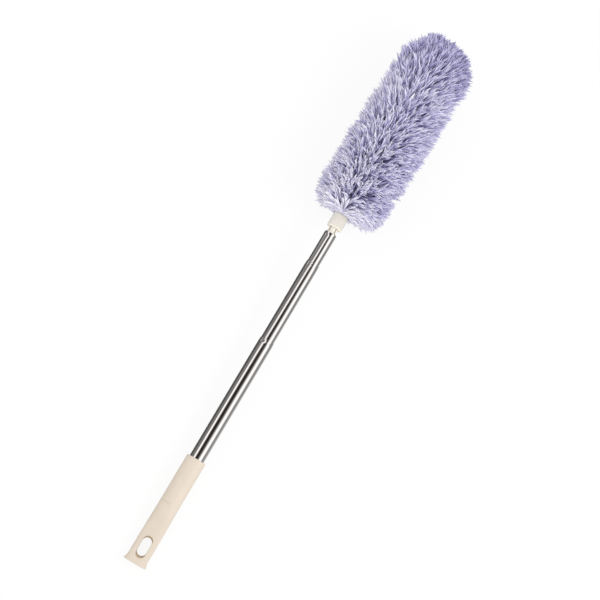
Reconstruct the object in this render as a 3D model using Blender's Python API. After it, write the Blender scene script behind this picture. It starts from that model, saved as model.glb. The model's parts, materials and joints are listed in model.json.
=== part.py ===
"""A telescopic ceiling fan duster, lying along +X from its handle to its head.

The origin is on the pole's axis, in the flat end face of the handle. All sizes are in metres.
The pole is three nested steel tubes. The foot of each sliding tube turns on a nylon bush, which
slides in the tube outside it and is held by a split spring band. The head is a soft pile on a wire
core, which is built in four stretches that hinge on each other where the real wire bends.
"""

import math
import random

import bmesh
import bpy
from mathutils import Vector

# Clearances
GAP = 0.0003                    # between pieces that stand on, or fill, each other
NECK_CLEARANCE = 0.00015        # between a tube and the neck that it slides through
GUIDE_CLEARANCE = 0.00015       # between a guide bush and the tube that it slides in
SPRING_CLEARANCE = 0.0001       # between a friction spring and the tube that it grips

# Handle
HANDLE_LENGTH = 0.142
HANDLE_TOP_DIAMETER = 0.0252
HANDLE_GRIP_WIDTH = 0.0262      # across the flattened part
HANDLE_GRIP_THICKNESS = 0.0170
HANDLE_BLEND_LENGTH = 0.055     # from its flattened section to its round one
HANDLE_FLARE_WIDTH = 0.0298
HANDLE_FLARE_THICKNESS = 0.0200
HANDLE_FLARE_LENGTH = 0.0085
HANDLE_SQUARENESS = 3.2         # exponent of the flattened section, where 2 is an ellipse
HANDLE_RIM_ROUND = 0.0012
HANDLE_FOOT_ROUND = 0.0006
SLOT_LENGTH = 0.0232            # at its narrowest, halfway through the handle
SLOT_WIDTH = 0.0117
SLOT_DRAFT_ENDS = 0.0026        # how much further each end reaches at the mouths
SLOT_DRAFT_SIDES = 0.0002
SLOT_FROM_END = 0.0223          # from the end face to the middle of the slot
SLOT_MOUTH_CHAMFER = 0.0004
SOCKET_DEPTH = 0.064            # how far the outer tube's bore goes down into the handle
SOCKET_COVER = 0.009            # how far above the bore's bottom the handle is fully round

# Telescopic tubes
OUTER_DIAMETER = 0.0190
MIDDLE_DIAMETER = 0.0174
INNER_DIAMETER = 0.0158
TUBE_WALL = 0.0004
SHOULDER_LENGTH = 0.0050        # where a tube is drawn in to the next one
LIP_LENGTH = 0.0010             # the narrow mouth above its shoulder
OUTER_REACH = 0.1665            # outer tube in view above the handle
MIDDLE_REACH = 0.1110           # middle tube in view, as photographed
INNER_REACH = 0.0435            # inner tube in view, as photographed
CLOSED_STEP = 0.0060            # how far each tube stands out when the pole is closed

# Guides inside the tubes
PLUG_LENGTH = 0.0080
PLUG_FLANGE = 0.0015
BUSH_GUIDE_LENGTH = 0.0160
BUSH_PLUG_LENGTH = 0.0120
BUSH_BORE_DIAMETER = 0.0080
SPRING_WIDTH = 0.0040
SPRING_THICKNESS = 0.0005
SPRING_SPLIT_DEG = 50.0

# Stem and collar
STEM_NECK_LENGTH = 0.0084       # in view between the inner tube and the collar
STEM_NECK_DIAMETER = 0.0124
STEM_FLANGE = 0.0012
STEM_PLUG_LENGTH = 0.0220
STEM_SPIGOT_LENGTH = 0.0090
STEM_SPIGOT_DIAMETER = 0.0104
STEM_FLUTES = 4
STEM_FLUTE_DEPTH = 0.0008
STEM_FLUTE_TURN_DEG = 38.0      # where the first flute runs, from +Y towards +Z
COLLAR_LENGTH = 0.0184
COLLAR_DIAMETER = 0.0199
COLLAR_WEB = 0.0015             # between its lower socket and its upper recess
COLLAR_EDGE_ROUND = 0.0008

# Head
HEAD_LENGTH = 0.2700            # from the top of the collar to the tip of the pile
HEAD_DIAMETER = 0.1030
HEAD_LEAN_DEG = -1.2            # how far the wire core leans off the pole's axis at rest
HEAD_FOOT_DEPTH = 0.0220        # rounded foot of the pile
HEAD_TIP_DEPTH = 0.0450         # rounded tip of the pile
FRINGE_OVERHANG = 0.0030        # how far the lowest strands hang below the collar's top
FRINGE_DIAMETER = 0.0440
BACKING_DIAMETER = 0.0460
BACKING_FOOT_DEPTH = 0.0100
BACKING_TIP_DEPTH = 0.0140
BACKING_SHORT_OF_TIP = 0.0180
WIRE_DIAMETER = 0.0025
WIRE_BEND_GAP = 0.0008          # between two stretches of wire, so that they can hinge
SHEATH_DIAMETER = 0.0130
END_CAP_LENGTH = 0.0080
END_CAP_SOCKET = 0.0050
STRETCHES = 4
ROWS_PER_STRETCH = 5
STRANDS_PER_ROW = 20
STRAND_MIDDLE = 0.76            # where a strand is widest, as a share of its length
STRAND_FILL = 0.82              # share of its place that it fills there
STRAND_SWEEP = 0.02             # how much the tips lead the roots, as a share of the outline
SEED = 7

# Facets round a turn
TUBE_SIDES = 28
SMALL_SIDES = 20
HANDLE_SIDES = 32

# Places along the pole that follow from the sizes
TUBE_SEAT = HANDLE_LENGTH - SOCKET_DEPTH
HANDLE_ROUND_FROM = TUBE_SEAT + SOCKET_COVER
HANDLE_FLAT_BELOW = HANDLE_ROUND_FROM - HANDLE_BLEND_LENGTH
OUTER_MOUTH = HANDLE_LENGTH + OUTER_REACH
MIDDLE_MOUTH = OUTER_MOUTH + MIDDLE_REACH
INNER_TOP = MIDDLE_MOUTH + INNER_REACH
PLUG_FOOT = TUBE_SEAT + GAP
OUTER_FOOT = PLUG_FOOT + PLUG_FLANGE + GAP
PLUG_TOP = OUTER_FOOT + PLUG_LENGTH
MIDDLE_TRAVEL_IN = MIDDLE_REACH - CLOSED_STEP
MIDDLE_BUSH_FOOT = PLUG_TOP + GAP + MIDDLE_TRAVEL_IN
MIDDLE_FOOT = MIDDLE_BUSH_FOOT + BUSH_GUIDE_LENGTH + GAP
INNER_TRAVEL_IN = INNER_REACH - CLOSED_STEP
INNER_BUSH_FOOT = MIDDLE_FOOT + BUSH_PLUG_LENGTH + GAP + INNER_TRAVEL_IN
INNER_FOOT = INNER_BUSH_FOOT + BUSH_GUIDE_LENGTH + GAP
COLLAR_FOOT = INNER_TOP + STEM_NECK_LENGTH
COLLAR_TOP = COLLAR_FOOT + COLLAR_LENGTH

# Radii that follow from the sizes
OUTER_RADIUS = OUTER_DIAMETER / 2
MIDDLE_RADIUS = MIDDLE_DIAMETER / 2
INNER_RADIUS = INNER_DIAMETER / 2
SHEATH_RADIUS = SHEATH_DIAMETER / 2
WIRE_RADIUS = WIRE_DIAMETER / 2
WIRE_HOLE_RADIUS = WIRE_RADIUS + GAP
SHEATH_BORE_RADIUS = WIRE_HOLE_RADIUS / math.cos(math.pi / SMALL_SIDES)
BACKING_BORE_RADIUS = (SHEATH_RADIUS + GAP) / math.cos(math.pi / STRANDS_PER_ROW)
BACKING_FOOT_RADIUS = COLLAR_DIAMETER / 2 + 2 * GAP

# Places along the head, from the top of the collar
BACKING_TIP = HEAD_LENGTH - BACKING_SHORT_OF_TIP
CORE_LENGTH = BACKING_TIP - BACKING_TIP_DEPTH - END_CAP_LENGTH
HINGES = [CORE_LENGTH * number / STRETCHES for number in range(1, STRETCHES)]


def clear_scene():
    for old in list(bpy.data.objects):
        bpy.data.objects.remove(old, do_unlink=True)


def material(name, colour, roughness, metallic=0.0):
    """Return a plain Principled material."""
    made = bpy.data.materials.new(name)
    made.use_nodes = True
    shader = made.node_tree.nodes["Principled BSDF"]
    shader.inputs["Base Color"].default_value = (*colour, 1.0)
    shader.inputs["Roughness"].default_value = roughness
    shader.inputs["Metallic"].default_value = metallic
    return made


def add_object(name, bm, finish, parent=None, smooth_below_deg=40.0):
    """Turn a bmesh into a named object with its faces pointing out."""
    bmesh.ops.recalc_face_normals(bm, faces=bm.faces)
    mesh = bpy.data.meshes.new(name)
    bm.to_mesh(mesh)
    bm.free()
    mesh.materials.append(finish)
    if smooth_below_deg > 0:
        mesh.shade_smooth()
        mesh.set_sharp_from_angle(angle=math.radians(smooth_below_deg))
    made = bpy.data.objects.new(name, mesh)
    bpy.context.scene.collection.objects.link(made)
    made.parent = parent
    return made


def empty_at(name, place, parent=None, turn_z=0.0):
    """Return an empty on a joint's axis, to carry what moves with it."""
    made = bpy.data.objects.new(name, None)
    made.location = place
    made.rotation_euler = (0.0, 0.0, turn_z)
    made.parent = parent
    bpy.context.scene.collection.objects.link(made)
    return made


def turned(name, profile, finish, parent=None, sides=TUBE_SIDES, hollow=False):
    """Spin a profile of (along, radius) points round the X axis.

    A hollow profile is a closed loop. Any other runs from a point on the axis to another one.
    """
    bm = bmesh.new()
    points = [bm.verts.new((along, 0.0, radius)) for along, radius in profile]
    pairs = list(zip(points, points[1:]))
    if hollow:
        pairs.append((points[-1], points[0]))
    edges = [bm.edges.new(pair) for pair in pairs]
    bmesh.ops.spin(
        bm, geom=points + edges, cent=(0, 0, 0), axis=(1, 0, 0), dvec=(0, 0, 0),
        angle=2 * math.pi, steps=sides, use_merge=True, use_duplicate=False,
    )
    bmesh.ops.remove_doubles(bm, verts=bm.verts, dist=1e-6)
    return add_object(name, bm, finish, parent)


def skin(rings):
    """Bridge closed rings of points in turn, and fill the first and the last with a face."""
    bm = bmesh.new()
    rows = [[bm.verts.new(point) for point in ring] for ring in rings]
    count = len(rows[0])
    for low, high in zip(rows, rows[1:]):
        for i in range(count):
            j = (i + 1) % count
            bm.faces.new((low[i], low[j], high[j], high[i]))
    bm.faces.new(rows[0])
    bm.faces.new(rows[-1])
    return bm


def ease(value, low, high):
    """Rise smoothly from 0 at low to 1 at high."""
    share = min(max((value - low) / (high - low), 0.0), 1.0)
    return share * share * (3 - 2 * share)


def mix(start, end, share):
    return start + (end - start) * share


# Handle
def handle_section(along, half_width, half_thickness, squareness):
    """Return one ring of the handle: a superellipse across the X axis."""
    ring = []
    for i in range(HANDLE_SIDES):
        angle = 2 * math.pi * i / HANDLE_SIDES
        side, up = math.cos(angle), math.sin(angle)
        power = 2 / squareness
        y = math.copysign(abs(side) ** power, side) * half_width
        z = math.copysign(abs(up) ** power, up) * half_thickness
        ring.append((along, y, z))
    return ring


def handle_ring(along, shrink=0.0):
    """Return the outer ring of the handle at one place along it."""
    roundness = ease(along, HANDLE_FLAT_BELOW, HANDLE_ROUND_FROM)
    flare = (1 - ease(along, 0.0, HANDLE_FLARE_LENGTH)) ** 1.5
    width = mix(HANDLE_GRIP_WIDTH, HANDLE_TOP_DIAMETER, roundness)
    width += (HANDLE_FLARE_WIDTH - HANDLE_GRIP_WIDTH) * flare
    thickness = mix(HANDLE_GRIP_THICKNESS, HANDLE_TOP_DIAMETER, roundness)
    thickness += (HANDLE_FLARE_THICKNESS - HANDLE_GRIP_THICKNESS) * flare
    squareness = mix(HANDLE_SQUARENESS, 2.0, roundness)
    return handle_section(along, width / 2 - shrink, thickness / 2 - shrink, squareness)


def bore_ring(along, radius):
    return handle_section(along, radius, radius, 2.0)


def slot_ring(height, longer, wider):
    """Return an obround outline with its long way along X, grown at its ends and its sides."""
    ring = []
    steps = 10
    radius = SLOT_WIDTH / 2 + wider
    straight = (SLOT_LENGTH - SLOT_WIDTH) / 2 + longer - wider
    for end in (1, -1):
        for i in range(steps + 1):
            angle = -math.pi / 2 + math.pi * i / steps
            x = end * (straight + math.cos(angle) * radius)
            y = end * math.sin(angle) * radius
            ring.append((SLOT_FROM_END + x, y, height))
    return ring


def slot_cutter():
    """Return a bar of the slot's outline, which is narrowest halfway and chamfered at its mouths."""
    inside = HANDLE_GRIP_THICKNESS / 2 - SLOT_MOUTH_CHAMFER
    rise = 3 * SLOT_MOUTH_CHAMFER
    return skin([
        slot_ring(-inside - rise, SLOT_DRAFT_ENDS + rise, SLOT_DRAFT_SIDES + rise),
        slot_ring(-inside, SLOT_DRAFT_ENDS, SLOT_DRAFT_SIDES),
        slot_ring(0.0, 0.0, 0.0),
        slot_ring(inside, SLOT_DRAFT_ENDS, SLOT_DRAFT_SIDES),
        slot_ring(inside + rise, SLOT_DRAFT_ENDS + rise, SLOT_DRAFT_SIDES + rise),
    ])


def add_cut(target, cutter_bm, name):
    """Cut a bmesh out of an object with a Boolean modifier."""
    cutter = add_object(name, cutter_bm, target.data.materials[0], target.parent, 0.0)
    cutter.hide_render = True
    cutter.display_type = "WIRE"
    cut = target.modifiers.new(name, "BOOLEAN")
    cut.operation = "DIFFERENCE"
    cut.solver = "EXACT"
    cut.object = cutter


def build_handle(finish, parent):
    """Build the handle with the blind bore for the outer tube and the slot that it hangs by."""
    flare = [HANDLE_FLARE_LENGTH * share for share in (0.07, 0.16, 0.35, 0.6, 1.0)]
    grip = HANDLE_ROUND_FROM - HANDLE_FLARE_LENGTH
    body = [HANDLE_FLARE_LENGTH + grip * i / 10 for i in range(1, 11)]
    rim = HANDLE_RIM_ROUND
    bore = OUTER_RADIUS + GAP
    rings = [handle_ring(0.0, shrink=HANDLE_FOOT_ROUND)]
    rings += [handle_ring(along) for along in flare + body]
    rings.append(handle_ring(HANDLE_LENGTH - rim))
    rings.append(handle_ring(HANDLE_LENGTH - rim * 0.3, shrink=rim * 0.3))
    rings.append(handle_ring(HANDLE_LENGTH, shrink=rim))
    rings.append(bore_ring(HANDLE_LENGTH, bore + GAP))
    rings.append(bore_ring(HANDLE_LENGTH - GAP, bore))
    rings.append(bore_ring(TUBE_SEAT, bore))
    handle = add_object("handle_grip", skin(rings), finish, parent)
    add_cut(handle, slot_cutter(), "slot_cutter")
    return handle


# Tubes
def tube_profile(foot, mouth, radius, passing_radius=None):
    """Return a tube's wall. Its mouth is drawn in to the tube that slides through it."""
    inner = radius - TUBE_WALL
    if passing_radius is None:
        roll = TUBE_WALL / 2
        return [(foot, radius), (mouth - roll, radius), (mouth, radius - roll), (mouth, inner), (foot, inner)]
    neck_inner = passing_radius + NECK_CLEARANCE
    neck_outer = neck_inner + TUBE_WALL
    lip_foot = mouth - LIP_LENGTH
    shoulder_foot = lip_foot - SHOULDER_LENGTH
    shoulder = [
        (shoulder_foot + SHOULDER_LENGTH * share, mix(radius, neck_outer, ease(share, 0.0, 1.0)))
        for share in (0.0, 0.25, 0.5, 0.75, 1.0)
    ]
    return [
        (foot, radius),
        *shoulder,
        (mouth - TUBE_WALL / 2, neck_outer),
        (mouth, neck_outer - TUBE_WALL / 2),
        (mouth, neck_inner),
        (lip_foot, neck_inner),
        (shoulder_foot, inner),
        (foot, inner),
    ]


def build_outer_tube(steel, nylon, parent):
    turned("outer_tube", tube_profile(OUTER_FOOT, OUTER_MOUTH, OUTER_RADIUS, MIDDLE_RADIUS), steel, parent,
           hollow=True)
    plug_radius = OUTER_RADIUS - TUBE_WALL - GAP
    turned("outer_tube_plug", [
        (PLUG_FOOT, 0.0),
        (PLUG_FOOT, OUTER_RADIUS),
        (PLUG_FOOT + PLUG_FLANGE, OUTER_RADIUS),
        (PLUG_FOOT + PLUG_FLANGE, plug_radius),
        (PLUG_TOP - GAP, plug_radius),
        (PLUG_TOP, plug_radius - GAP),
        (PLUG_TOP, 0.0),
    ], nylon, parent)


def spring_band(name, along, outer, finish, parent):
    """Return a split ring of flat spring strip."""
    half = SPRING_WIDTH / 2
    inner = outer - SPRING_THICKNESS
    turn = math.radians(360.0 - SPRING_SPLIT_DEG)
    rings = []
    for i in range(TUBE_SIDES + 1):
        angle = turn * i / TUBE_SIDES
        rings.append([
            (along + x, radius * math.sin(angle), radius * math.cos(angle))
            for x, radius in ((-half, outer), (half, outer), (half, inner), (-half, inner))
        ])
    add_object(name, skin(rings), finish, parent)


def build_guide(prefix, foot, tube_inner, outside_inner, nylon, spring, parent):
    """Build the bush at the foot of a sliding tube, and the band that grips the tube outside."""
    guide_radius = outside_inner - GUIDE_CLEARANCE
    spring_radius = outside_inner - SPRING_CLEARANCE
    groove_radius = spring_radius - SPRING_THICKNESS - GAP
    plug_radius = tube_inner - GAP
    bore = BUSH_BORE_DIAMETER / 2
    middle = foot + BUSH_GUIDE_LENGTH / 2
    groove_half = SPRING_WIDTH / 2 + GAP
    top = foot + BUSH_GUIDE_LENGTH
    plug_top = top + GAP + BUSH_PLUG_LENGTH
    turned(prefix + "_guide_bush", [
        (foot, bore),
        (foot, guide_radius - 2 * GAP),
        (foot + 2 * GAP, guide_radius),
        (middle - groove_half, guide_radius),
        (middle - groove_half, groove_radius),
        (middle + groove_half, groove_radius),
        (middle + groove_half, guide_radius),
        (top, guide_radius),
        (top, plug_radius),
        (plug_top - 2 * GAP, plug_radius),
        (plug_top, plug_radius - 2 * GAP),
        (plug_top, bore),
    ], nylon, parent, hollow=True)
    spring_band(prefix + "_friction_spring", middle, spring_radius, spring, parent)


# Stem and collar
def build_stem(finish, parent):
    """Build the plug, flange, fluted neck and spigot that join the inner tube to the collar."""
    plug_radius = INNER_RADIUS - TUBE_WALL - GAP
    neck_radius = STEM_NECK_DIAMETER / 2
    spigot_radius = STEM_SPIGOT_DIAMETER / 2
    foot = INNER_TOP - STEM_PLUG_LENGTH
    flange_foot = INNER_TOP + GAP
    neck_top = COLLAR_FOOT - GAP
    spigot_top = COLLAR_FOOT + STEM_SPIGOT_LENGTH
    sides_per_flute = 8
    sides = sides_per_flute * STEM_FLUTES

    def round_ring(along, radius, flute_depth=0.0):
        ring = []
        for i in range(sides):
            reach = radius if i % sides_per_flute else radius - flute_depth
            angle = math.radians(STEM_FLUTE_TURN_DEG) + 2 * math.pi * i / sides
            ring.append((along, reach * math.cos(angle), reach * math.sin(angle)))
        return ring

    rings = [
        round_ring(foot, plug_radius - 2 * GAP),
        round_ring(foot + 2 * GAP, plug_radius),
        round_ring(flange_foot, plug_radius),
        round_ring(flange_foot, INNER_RADIUS - GAP),
        round_ring(flange_foot + STEM_FLANGE, INNER_RADIUS - GAP),
        round_ring(flange_foot + STEM_FLANGE, neck_radius, STEM_FLUTE_DEPTH),
        round_ring(neck_top, neck_radius, STEM_FLUTE_DEPTH),
        round_ring(neck_top, spigot_radius),
        round_ring(spigot_top - 2 * GAP, spigot_radius),
        round_ring(spigot_top, spigot_radius - 2 * GAP),
    ]
    add_object("threaded_stem", skin(rings), finish, parent, smooth_below_deg=30.0)


def build_collar(finish, nylon, parent):
    radius = COLLAR_DIAMETER / 2
    edge = COLLAR_EDGE_ROUND
    socket_radius = STEM_SPIGOT_DIAMETER / 2 + GAP
    socket_top = COLLAR_FOOT + STEM_SPIGOT_LENGTH + GAP
    recess_foot = socket_top + COLLAR_WEB
    anchor_radius = SHEATH_RADIUS
    recess_radius = anchor_radius + GAP
    turned("head_collar", [
        (COLLAR_FOOT, socket_radius),
        (COLLAR_FOOT, radius - edge),
        (COLLAR_FOOT + edge * 0.3, radius - edge * 0.3),
        (COLLAR_FOOT + edge, radius),
        (COLLAR_TOP - edge, radius),
        (COLLAR_TOP - edge * 0.3, radius - edge * 0.3),
        (COLLAR_TOP, radius - edge),
        (COLLAR_TOP, recess_radius),
        (recess_foot, recess_radius),
        (recess_foot, WIRE_HOLE_RADIUS + GAP),
        (socket_top, WIRE_HOLE_RADIUS + GAP),
        (socket_top, socket_radius),
    ], finish, parent, hollow=True)
    anchor_foot = recess_foot + GAP
    anchor_top = COLLAR_TOP - GAP
    turned("core_anchor", [
        (anchor_foot, SHEATH_BORE_RADIUS),
        (anchor_foot, anchor_radius),
        (anchor_top, anchor_radius),
        (anchor_top, SHEATH_BORE_RADIUS),
    ], nylon, parent, sides=SMALL_SIDES, hollow=True)
    return anchor_foot


# Head
def wire(name, start, end, finish, parent):
    edge = WIRE_RADIUS / 4
    turned(name, [
        (start, 0.0),
        (start, WIRE_RADIUS - edge),
        (start + edge, WIRE_RADIUS),
        (end - edge, WIRE_RADIUS),
        (end, WIRE_RADIUS - edge),
        (end, 0.0),
    ], finish, parent, sides=SMALL_SIDES)


def sleeve(name, start, end, finish, parent):
    turned(name, [
        (start, SHEATH_BORE_RADIUS),
        (start, SHEATH_RADIUS),
        (end, SHEATH_RADIUS),
        (end, SHEATH_BORE_RADIUS),
    ], finish, parent, sides=SMALL_SIDES, hollow=True)


def rounded_outline(start, start_radius, end, radius, foot_depth, tip_depth, count=400):
    """Return points of a rounded outline from (start, start_radius) to (end, 0)."""
    points = []
    for i in range(count + 1):
        angle = math.pi / 2 * i / count
        along = start + foot_depth * (1 - math.cos(angle))
        points.append((along, mix(start_radius, radius, math.sin(angle) ** 0.7)))
    for i in range(count + 1):
        angle = math.pi / 2 * i / count
        along = end - tip_depth * (1 - math.sin(angle))
        points.append((along, radius * math.cos(angle)))
    return points


def walk(points):
    """Return a function that gives the outline's point at a share of its length."""
    lengths = [0.0]
    for low, high in zip(points, points[1:]):
        lengths.append(lengths[-1] + math.dist(low, high))
    whole = lengths[-1]

    def at(share):
        wanted = min(max(share, 0.0), 1.0) * whole
        for i in range(1, len(lengths)):
            if lengths[i] >= wanted:
                step = lengths[i] - lengths[i - 1]
                part = (wanted - lengths[i - 1]) / step if step > 0 else 0.0
                low, high = points[i - 1], points[i]
                return (mix(low[0], high[0], part), mix(low[1], high[1], part))
        return points[-1]

    return at


def share_at(at, along):
    """Return the share of an outline's length at which it reaches a place along the head."""
    low, high = 0.0, 1.0
    for _ in range(50):
        middle = (low + high) / 2
        if at(middle)[0] < along:
            low = middle
        else:
            high = middle
    return (low + high) / 2


def around(point, turn):
    """Turn an outline's point about the head's axis, by a share of a full turn."""
    along, radius = point
    angle = 2 * math.pi * turn
    return Vector((along, radius * math.cos(angle), radius * math.sin(angle)))


def build_pile(finish, parents):
    """Build the pile: four slices of backing, each with its rows of strands.

    A strand stands in its own cell between the backing's outline and the head's outline, and
    never leaves it, so no two strands cross.
    """
    backing = walk(rounded_outline(
        GAP, BACKING_FOOT_RADIUS, BACKING_TIP, BACKING_DIAMETER / 2, BACKING_FOOT_DEPTH, BACKING_TIP_DEPTH))
    canopy = walk(rounded_outline(
        -FRINGE_OVERHANG, FRINGE_DIAMETER / 2, HEAD_LENGTH, HEAD_DIAMETER / 2, HEAD_FOOT_DEPTH, HEAD_TIP_DEPTH))
    chance = random.Random(SEED)
    limits = [0.0] + [share_at(backing, place) for place in HINGES] + [1.0]
    half_gap = share_at(backing, HINGES[0] + GAP / 2) - limits[1]

    def canopy_share(share):
        return share + STRAND_SWEEP * math.sin(math.pi * share)

    for number in range(STRETCHES):
        low = limits[number] + (half_gap if number > 0 else 0.0)
        high = limits[number + 1] - (half_gap if number < STRETCHES - 1 else 0.0)
        closed_tip = number == STRETCHES - 1
        if closed_tip:
            high = share_at(backing, BACKING_TIP - BACKING_TIP_DEPTH * 0.04)
        bm = bmesh.new()
        shares = [mix(low, high, i / ROWS_PER_STRETCH) for i in range(ROWS_PER_STRETCH + 1)]
        grid = []
        for i, share in enumerate(shares):
            shift = 0.5 * (i % 2)
            turns = [(j + shift) / STRANDS_PER_ROW for j in range(STRANDS_PER_ROW)]
            grid.append([(share, turn, bm.verts.new(around(backing(share), turn))) for turn in turns])
        for i in range(ROWS_PER_STRETCH):
            for j in range(STRANDS_PER_ROW):
                k = (j + 1) % STRANDS_PER_ROW
                add_strand(bm, (grid[i][j], grid[i][k], grid[i + 1][k], grid[i + 1][j]),
                           canopy, canopy_share, chance)
        close_backing(bm, [corner[2] for corner in grid[0]], [corner[2] for corner in grid[-1]], closed_tip)
        move_under(bm, parents[number])
        add_object("pile_%d" % (number + 1), bm, finish, parents[number][0], smooth_below_deg=0.0)


def add_strand(bm, corners, canopy, canopy_share, chance):
    """Raise one tapered strand of four sides from a cell of the backing."""
    roots = [vert for _, _, vert in corners]
    tips = [around(canopy(canopy_share(share)), turn) for share, turn, _ in corners]
    root_middle = sum((vert.co for vert in roots), Vector()) / 4
    tip_middle = sum(tips, Vector()) / 4
    length = chance.uniform(0.90, 1.0)
    aside = [mix(0.5, chance.random(), 0.5) for _ in range(2)]
    side_low = tips[0].lerp(tips[1], aside[0])
    side_high = tips[3].lerp(tips[2], aside[0])
    tip = side_low.lerp(side_high, aside[1])
    tip = tip_middle.lerp(tip, 0.5)
    tip = root_middle.lerp(tip, length)
    belly = [root.co.lerp(end, STRAND_MIDDLE * length) for root, end in zip(roots, tips)]
    belly_middle = sum(belly, Vector()) / 4
    ring = [bm.verts.new(belly_middle.lerp(point, STRAND_FILL)) for point in belly]
    top = bm.verts.new(tip)
    for i in range(4):
        j = (i + 1) % 4
        bm.faces.new((roots[i], roots[j], ring[j], ring[i]))
        bm.faces.new((ring[i], ring[j], top))


def close_backing(bm, first, last, closed_tip):
    """Close a slice of backing with its end faces and its bore."""
    def bore(along, outer):
        made = []
        for vert in outer:
            radius = math.hypot(vert.co.y, vert.co.z)
            scale = BACKING_BORE_RADIUS / radius
            made.append(bm.verts.new((along, vert.co.y * scale, vert.co.z * scale)))
        return made

    low = bore(first[0].co.x, first)
    bridge(bm, first, low)
    if closed_tip:
        high = bore(CORE_LENGTH + END_CAP_LENGTH + 2 * GAP, low)
        bm.faces.new(last)
        bridge(bm, low, high)
        bm.faces.new(high)
        return
    high = bore(last[0].co.x, last)
    bridge(bm, last, high)
    bridge_nearest(bm, low, high)


def bridge(bm, ring_a, ring_b):
    count = len(ring_a)
    for i in range(count):
        j = (i + 1) % count
        bm.faces.new((ring_a[i], ring_a[j], ring_b[j], ring_b[i]))


def bridge_nearest(bm, low, high):
    """Join two rings of the bore that stand half a step apart with triangles."""
    count = len(low)
    for i in range(count):
        j = (i + 1) % count
        bm.faces.new((low[i], low[j], high[i]))
        bm.faces.new((high[i], high[j], low[j]))


def move_under(bm, parent):
    """Shift a mesh that is modelled from the collar's top so that it keeps its place."""
    bmesh.ops.translate(bm, verts=bm.verts, vec=(-parent[1], 0.0, 0.0))


def build_core(wire_steel, foam, nylon, parents, anchor_foot):
    """Build the wire, its foam sleeve and its end cap in stretches that hinge on each other."""
    limits = [0.0] + HINGES + [CORE_LENGTH]
    for number in range(STRETCHES):
        parent, along = parents[number]
        first, last = number == 0, number == STRETCHES - 1
        wire_start = anchor_foot - COLLAR_TOP if first else limits[number] + WIRE_BEND_GAP / 2
        wire_end = limits[number + 1] + END_CAP_SOCKET if last else limits[number + 1] - WIRE_BEND_GAP / 2
        sleeve_start = limits[number] + (GAP if first else GAP / 2)
        sleeve_end = limits[number + 1] - GAP / 2
        wire("core_wire_%d" % (number + 1), wire_start - along, wire_end - along, wire_steel, parent)
        sleeve("core_sheath_%d" % (number + 1), sleeve_start - along, sleeve_end - along, foam, parent)
    parent, along = parents[-1]
    foot = CORE_LENGTH + GAP - along
    top = CORE_LENGTH + END_CAP_LENGTH - along
    socket = CORE_LENGTH + END_CAP_SOCKET + GAP - along
    edge = SHEATH_RADIUS / 3
    turned("core_end_cap", [
        (socket, 0.0),
        (socket, SHEATH_BORE_RADIUS),
        (foot, SHEATH_BORE_RADIUS),
        (foot, SHEATH_RADIUS),
        (top - edge, SHEATH_RADIUS),
        (top - edge * 0.3, SHEATH_RADIUS - edge * 0.3),
        (top, SHEATH_RADIUS - edge),
        (top, 0.0),
    ], nylon, parent, sides=SMALL_SIDES)


def build():
    clear_scene()
    cream = material("cream_plastic", (0.74, 0.68, 0.56), 0.38)
    steel = material("polished_steel", (0.72, 0.72, 0.73), 0.08, 1.0)
    spring_steel = material("spring_steel", (0.50, 0.48, 0.44), 0.35, 1.0)
    nylon = material("natural_nylon", (0.80, 0.79, 0.74), 0.5)
    foam = material("grey_foam", (0.35, 0.35, 0.38), 0.9)
    pile = material("lavender_microfibre", (0.45, 0.42, 0.62), 0.95)

    pole = empty_at("pole_axis", (0.0, 0.0, 0.0))
    build_handle(cream, pole)
    build_outer_tube(steel, nylon, pole)

    build_guide("middle", MIDDLE_BUSH_FOOT, MIDDLE_RADIUS - TUBE_WALL, OUTER_RADIUS - TUBE_WALL,
                nylon, spring_steel, pole)
    turned("middle_tube", tube_profile(MIDDLE_FOOT, MIDDLE_MOUTH, MIDDLE_RADIUS, INNER_RADIUS), steel, pole,
           hollow=True)
    build_guide("inner", INNER_BUSH_FOOT, INNER_RADIUS - TUBE_WALL, MIDDLE_RADIUS - TUBE_WALL,
                nylon, spring_steel, pole)
    turned("inner_tube", tube_profile(INNER_FOOT, INNER_TOP, INNER_RADIUS), steel, pole, hollow=True)
    build_stem(cream, pole)
    anchor_foot = build_collar(cream, nylon, pole)

    head = empty_at("head_axis", (COLLAR_TOP, 0.0, 0.0), pole, math.radians(HEAD_LEAN_DEG))
    parents = [(head, 0.0)]
    for number, place in enumerate(HINGES):
        before = parents[-1]
        hinge = empty_at("head_hinge_%d" % (number + 1), (place - before[1], 0.0, 0.0), before[0])
        parents.append((hinge, place))
    build_core(spring_steel, foam, nylon, parents, anchor_foot)
    build_pile(pile, parents)


build()
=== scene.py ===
# %% [markdown]
# # A telescopic duster for ceiling fans
# The duster is a moulded handle, three steel tubes that slide in each other, a collar and a long
# soft head on a bendable core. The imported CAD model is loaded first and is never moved. Every piece
# below is made in metres in the same frame: +X runs up the pole, and +Z comes out of the handle's
# flat side, towards the camera.

# %% Load the frame
import json
import math

import bmesh
import bpy
import numpy as np
from mathutils import Matrix, Vector


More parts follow.
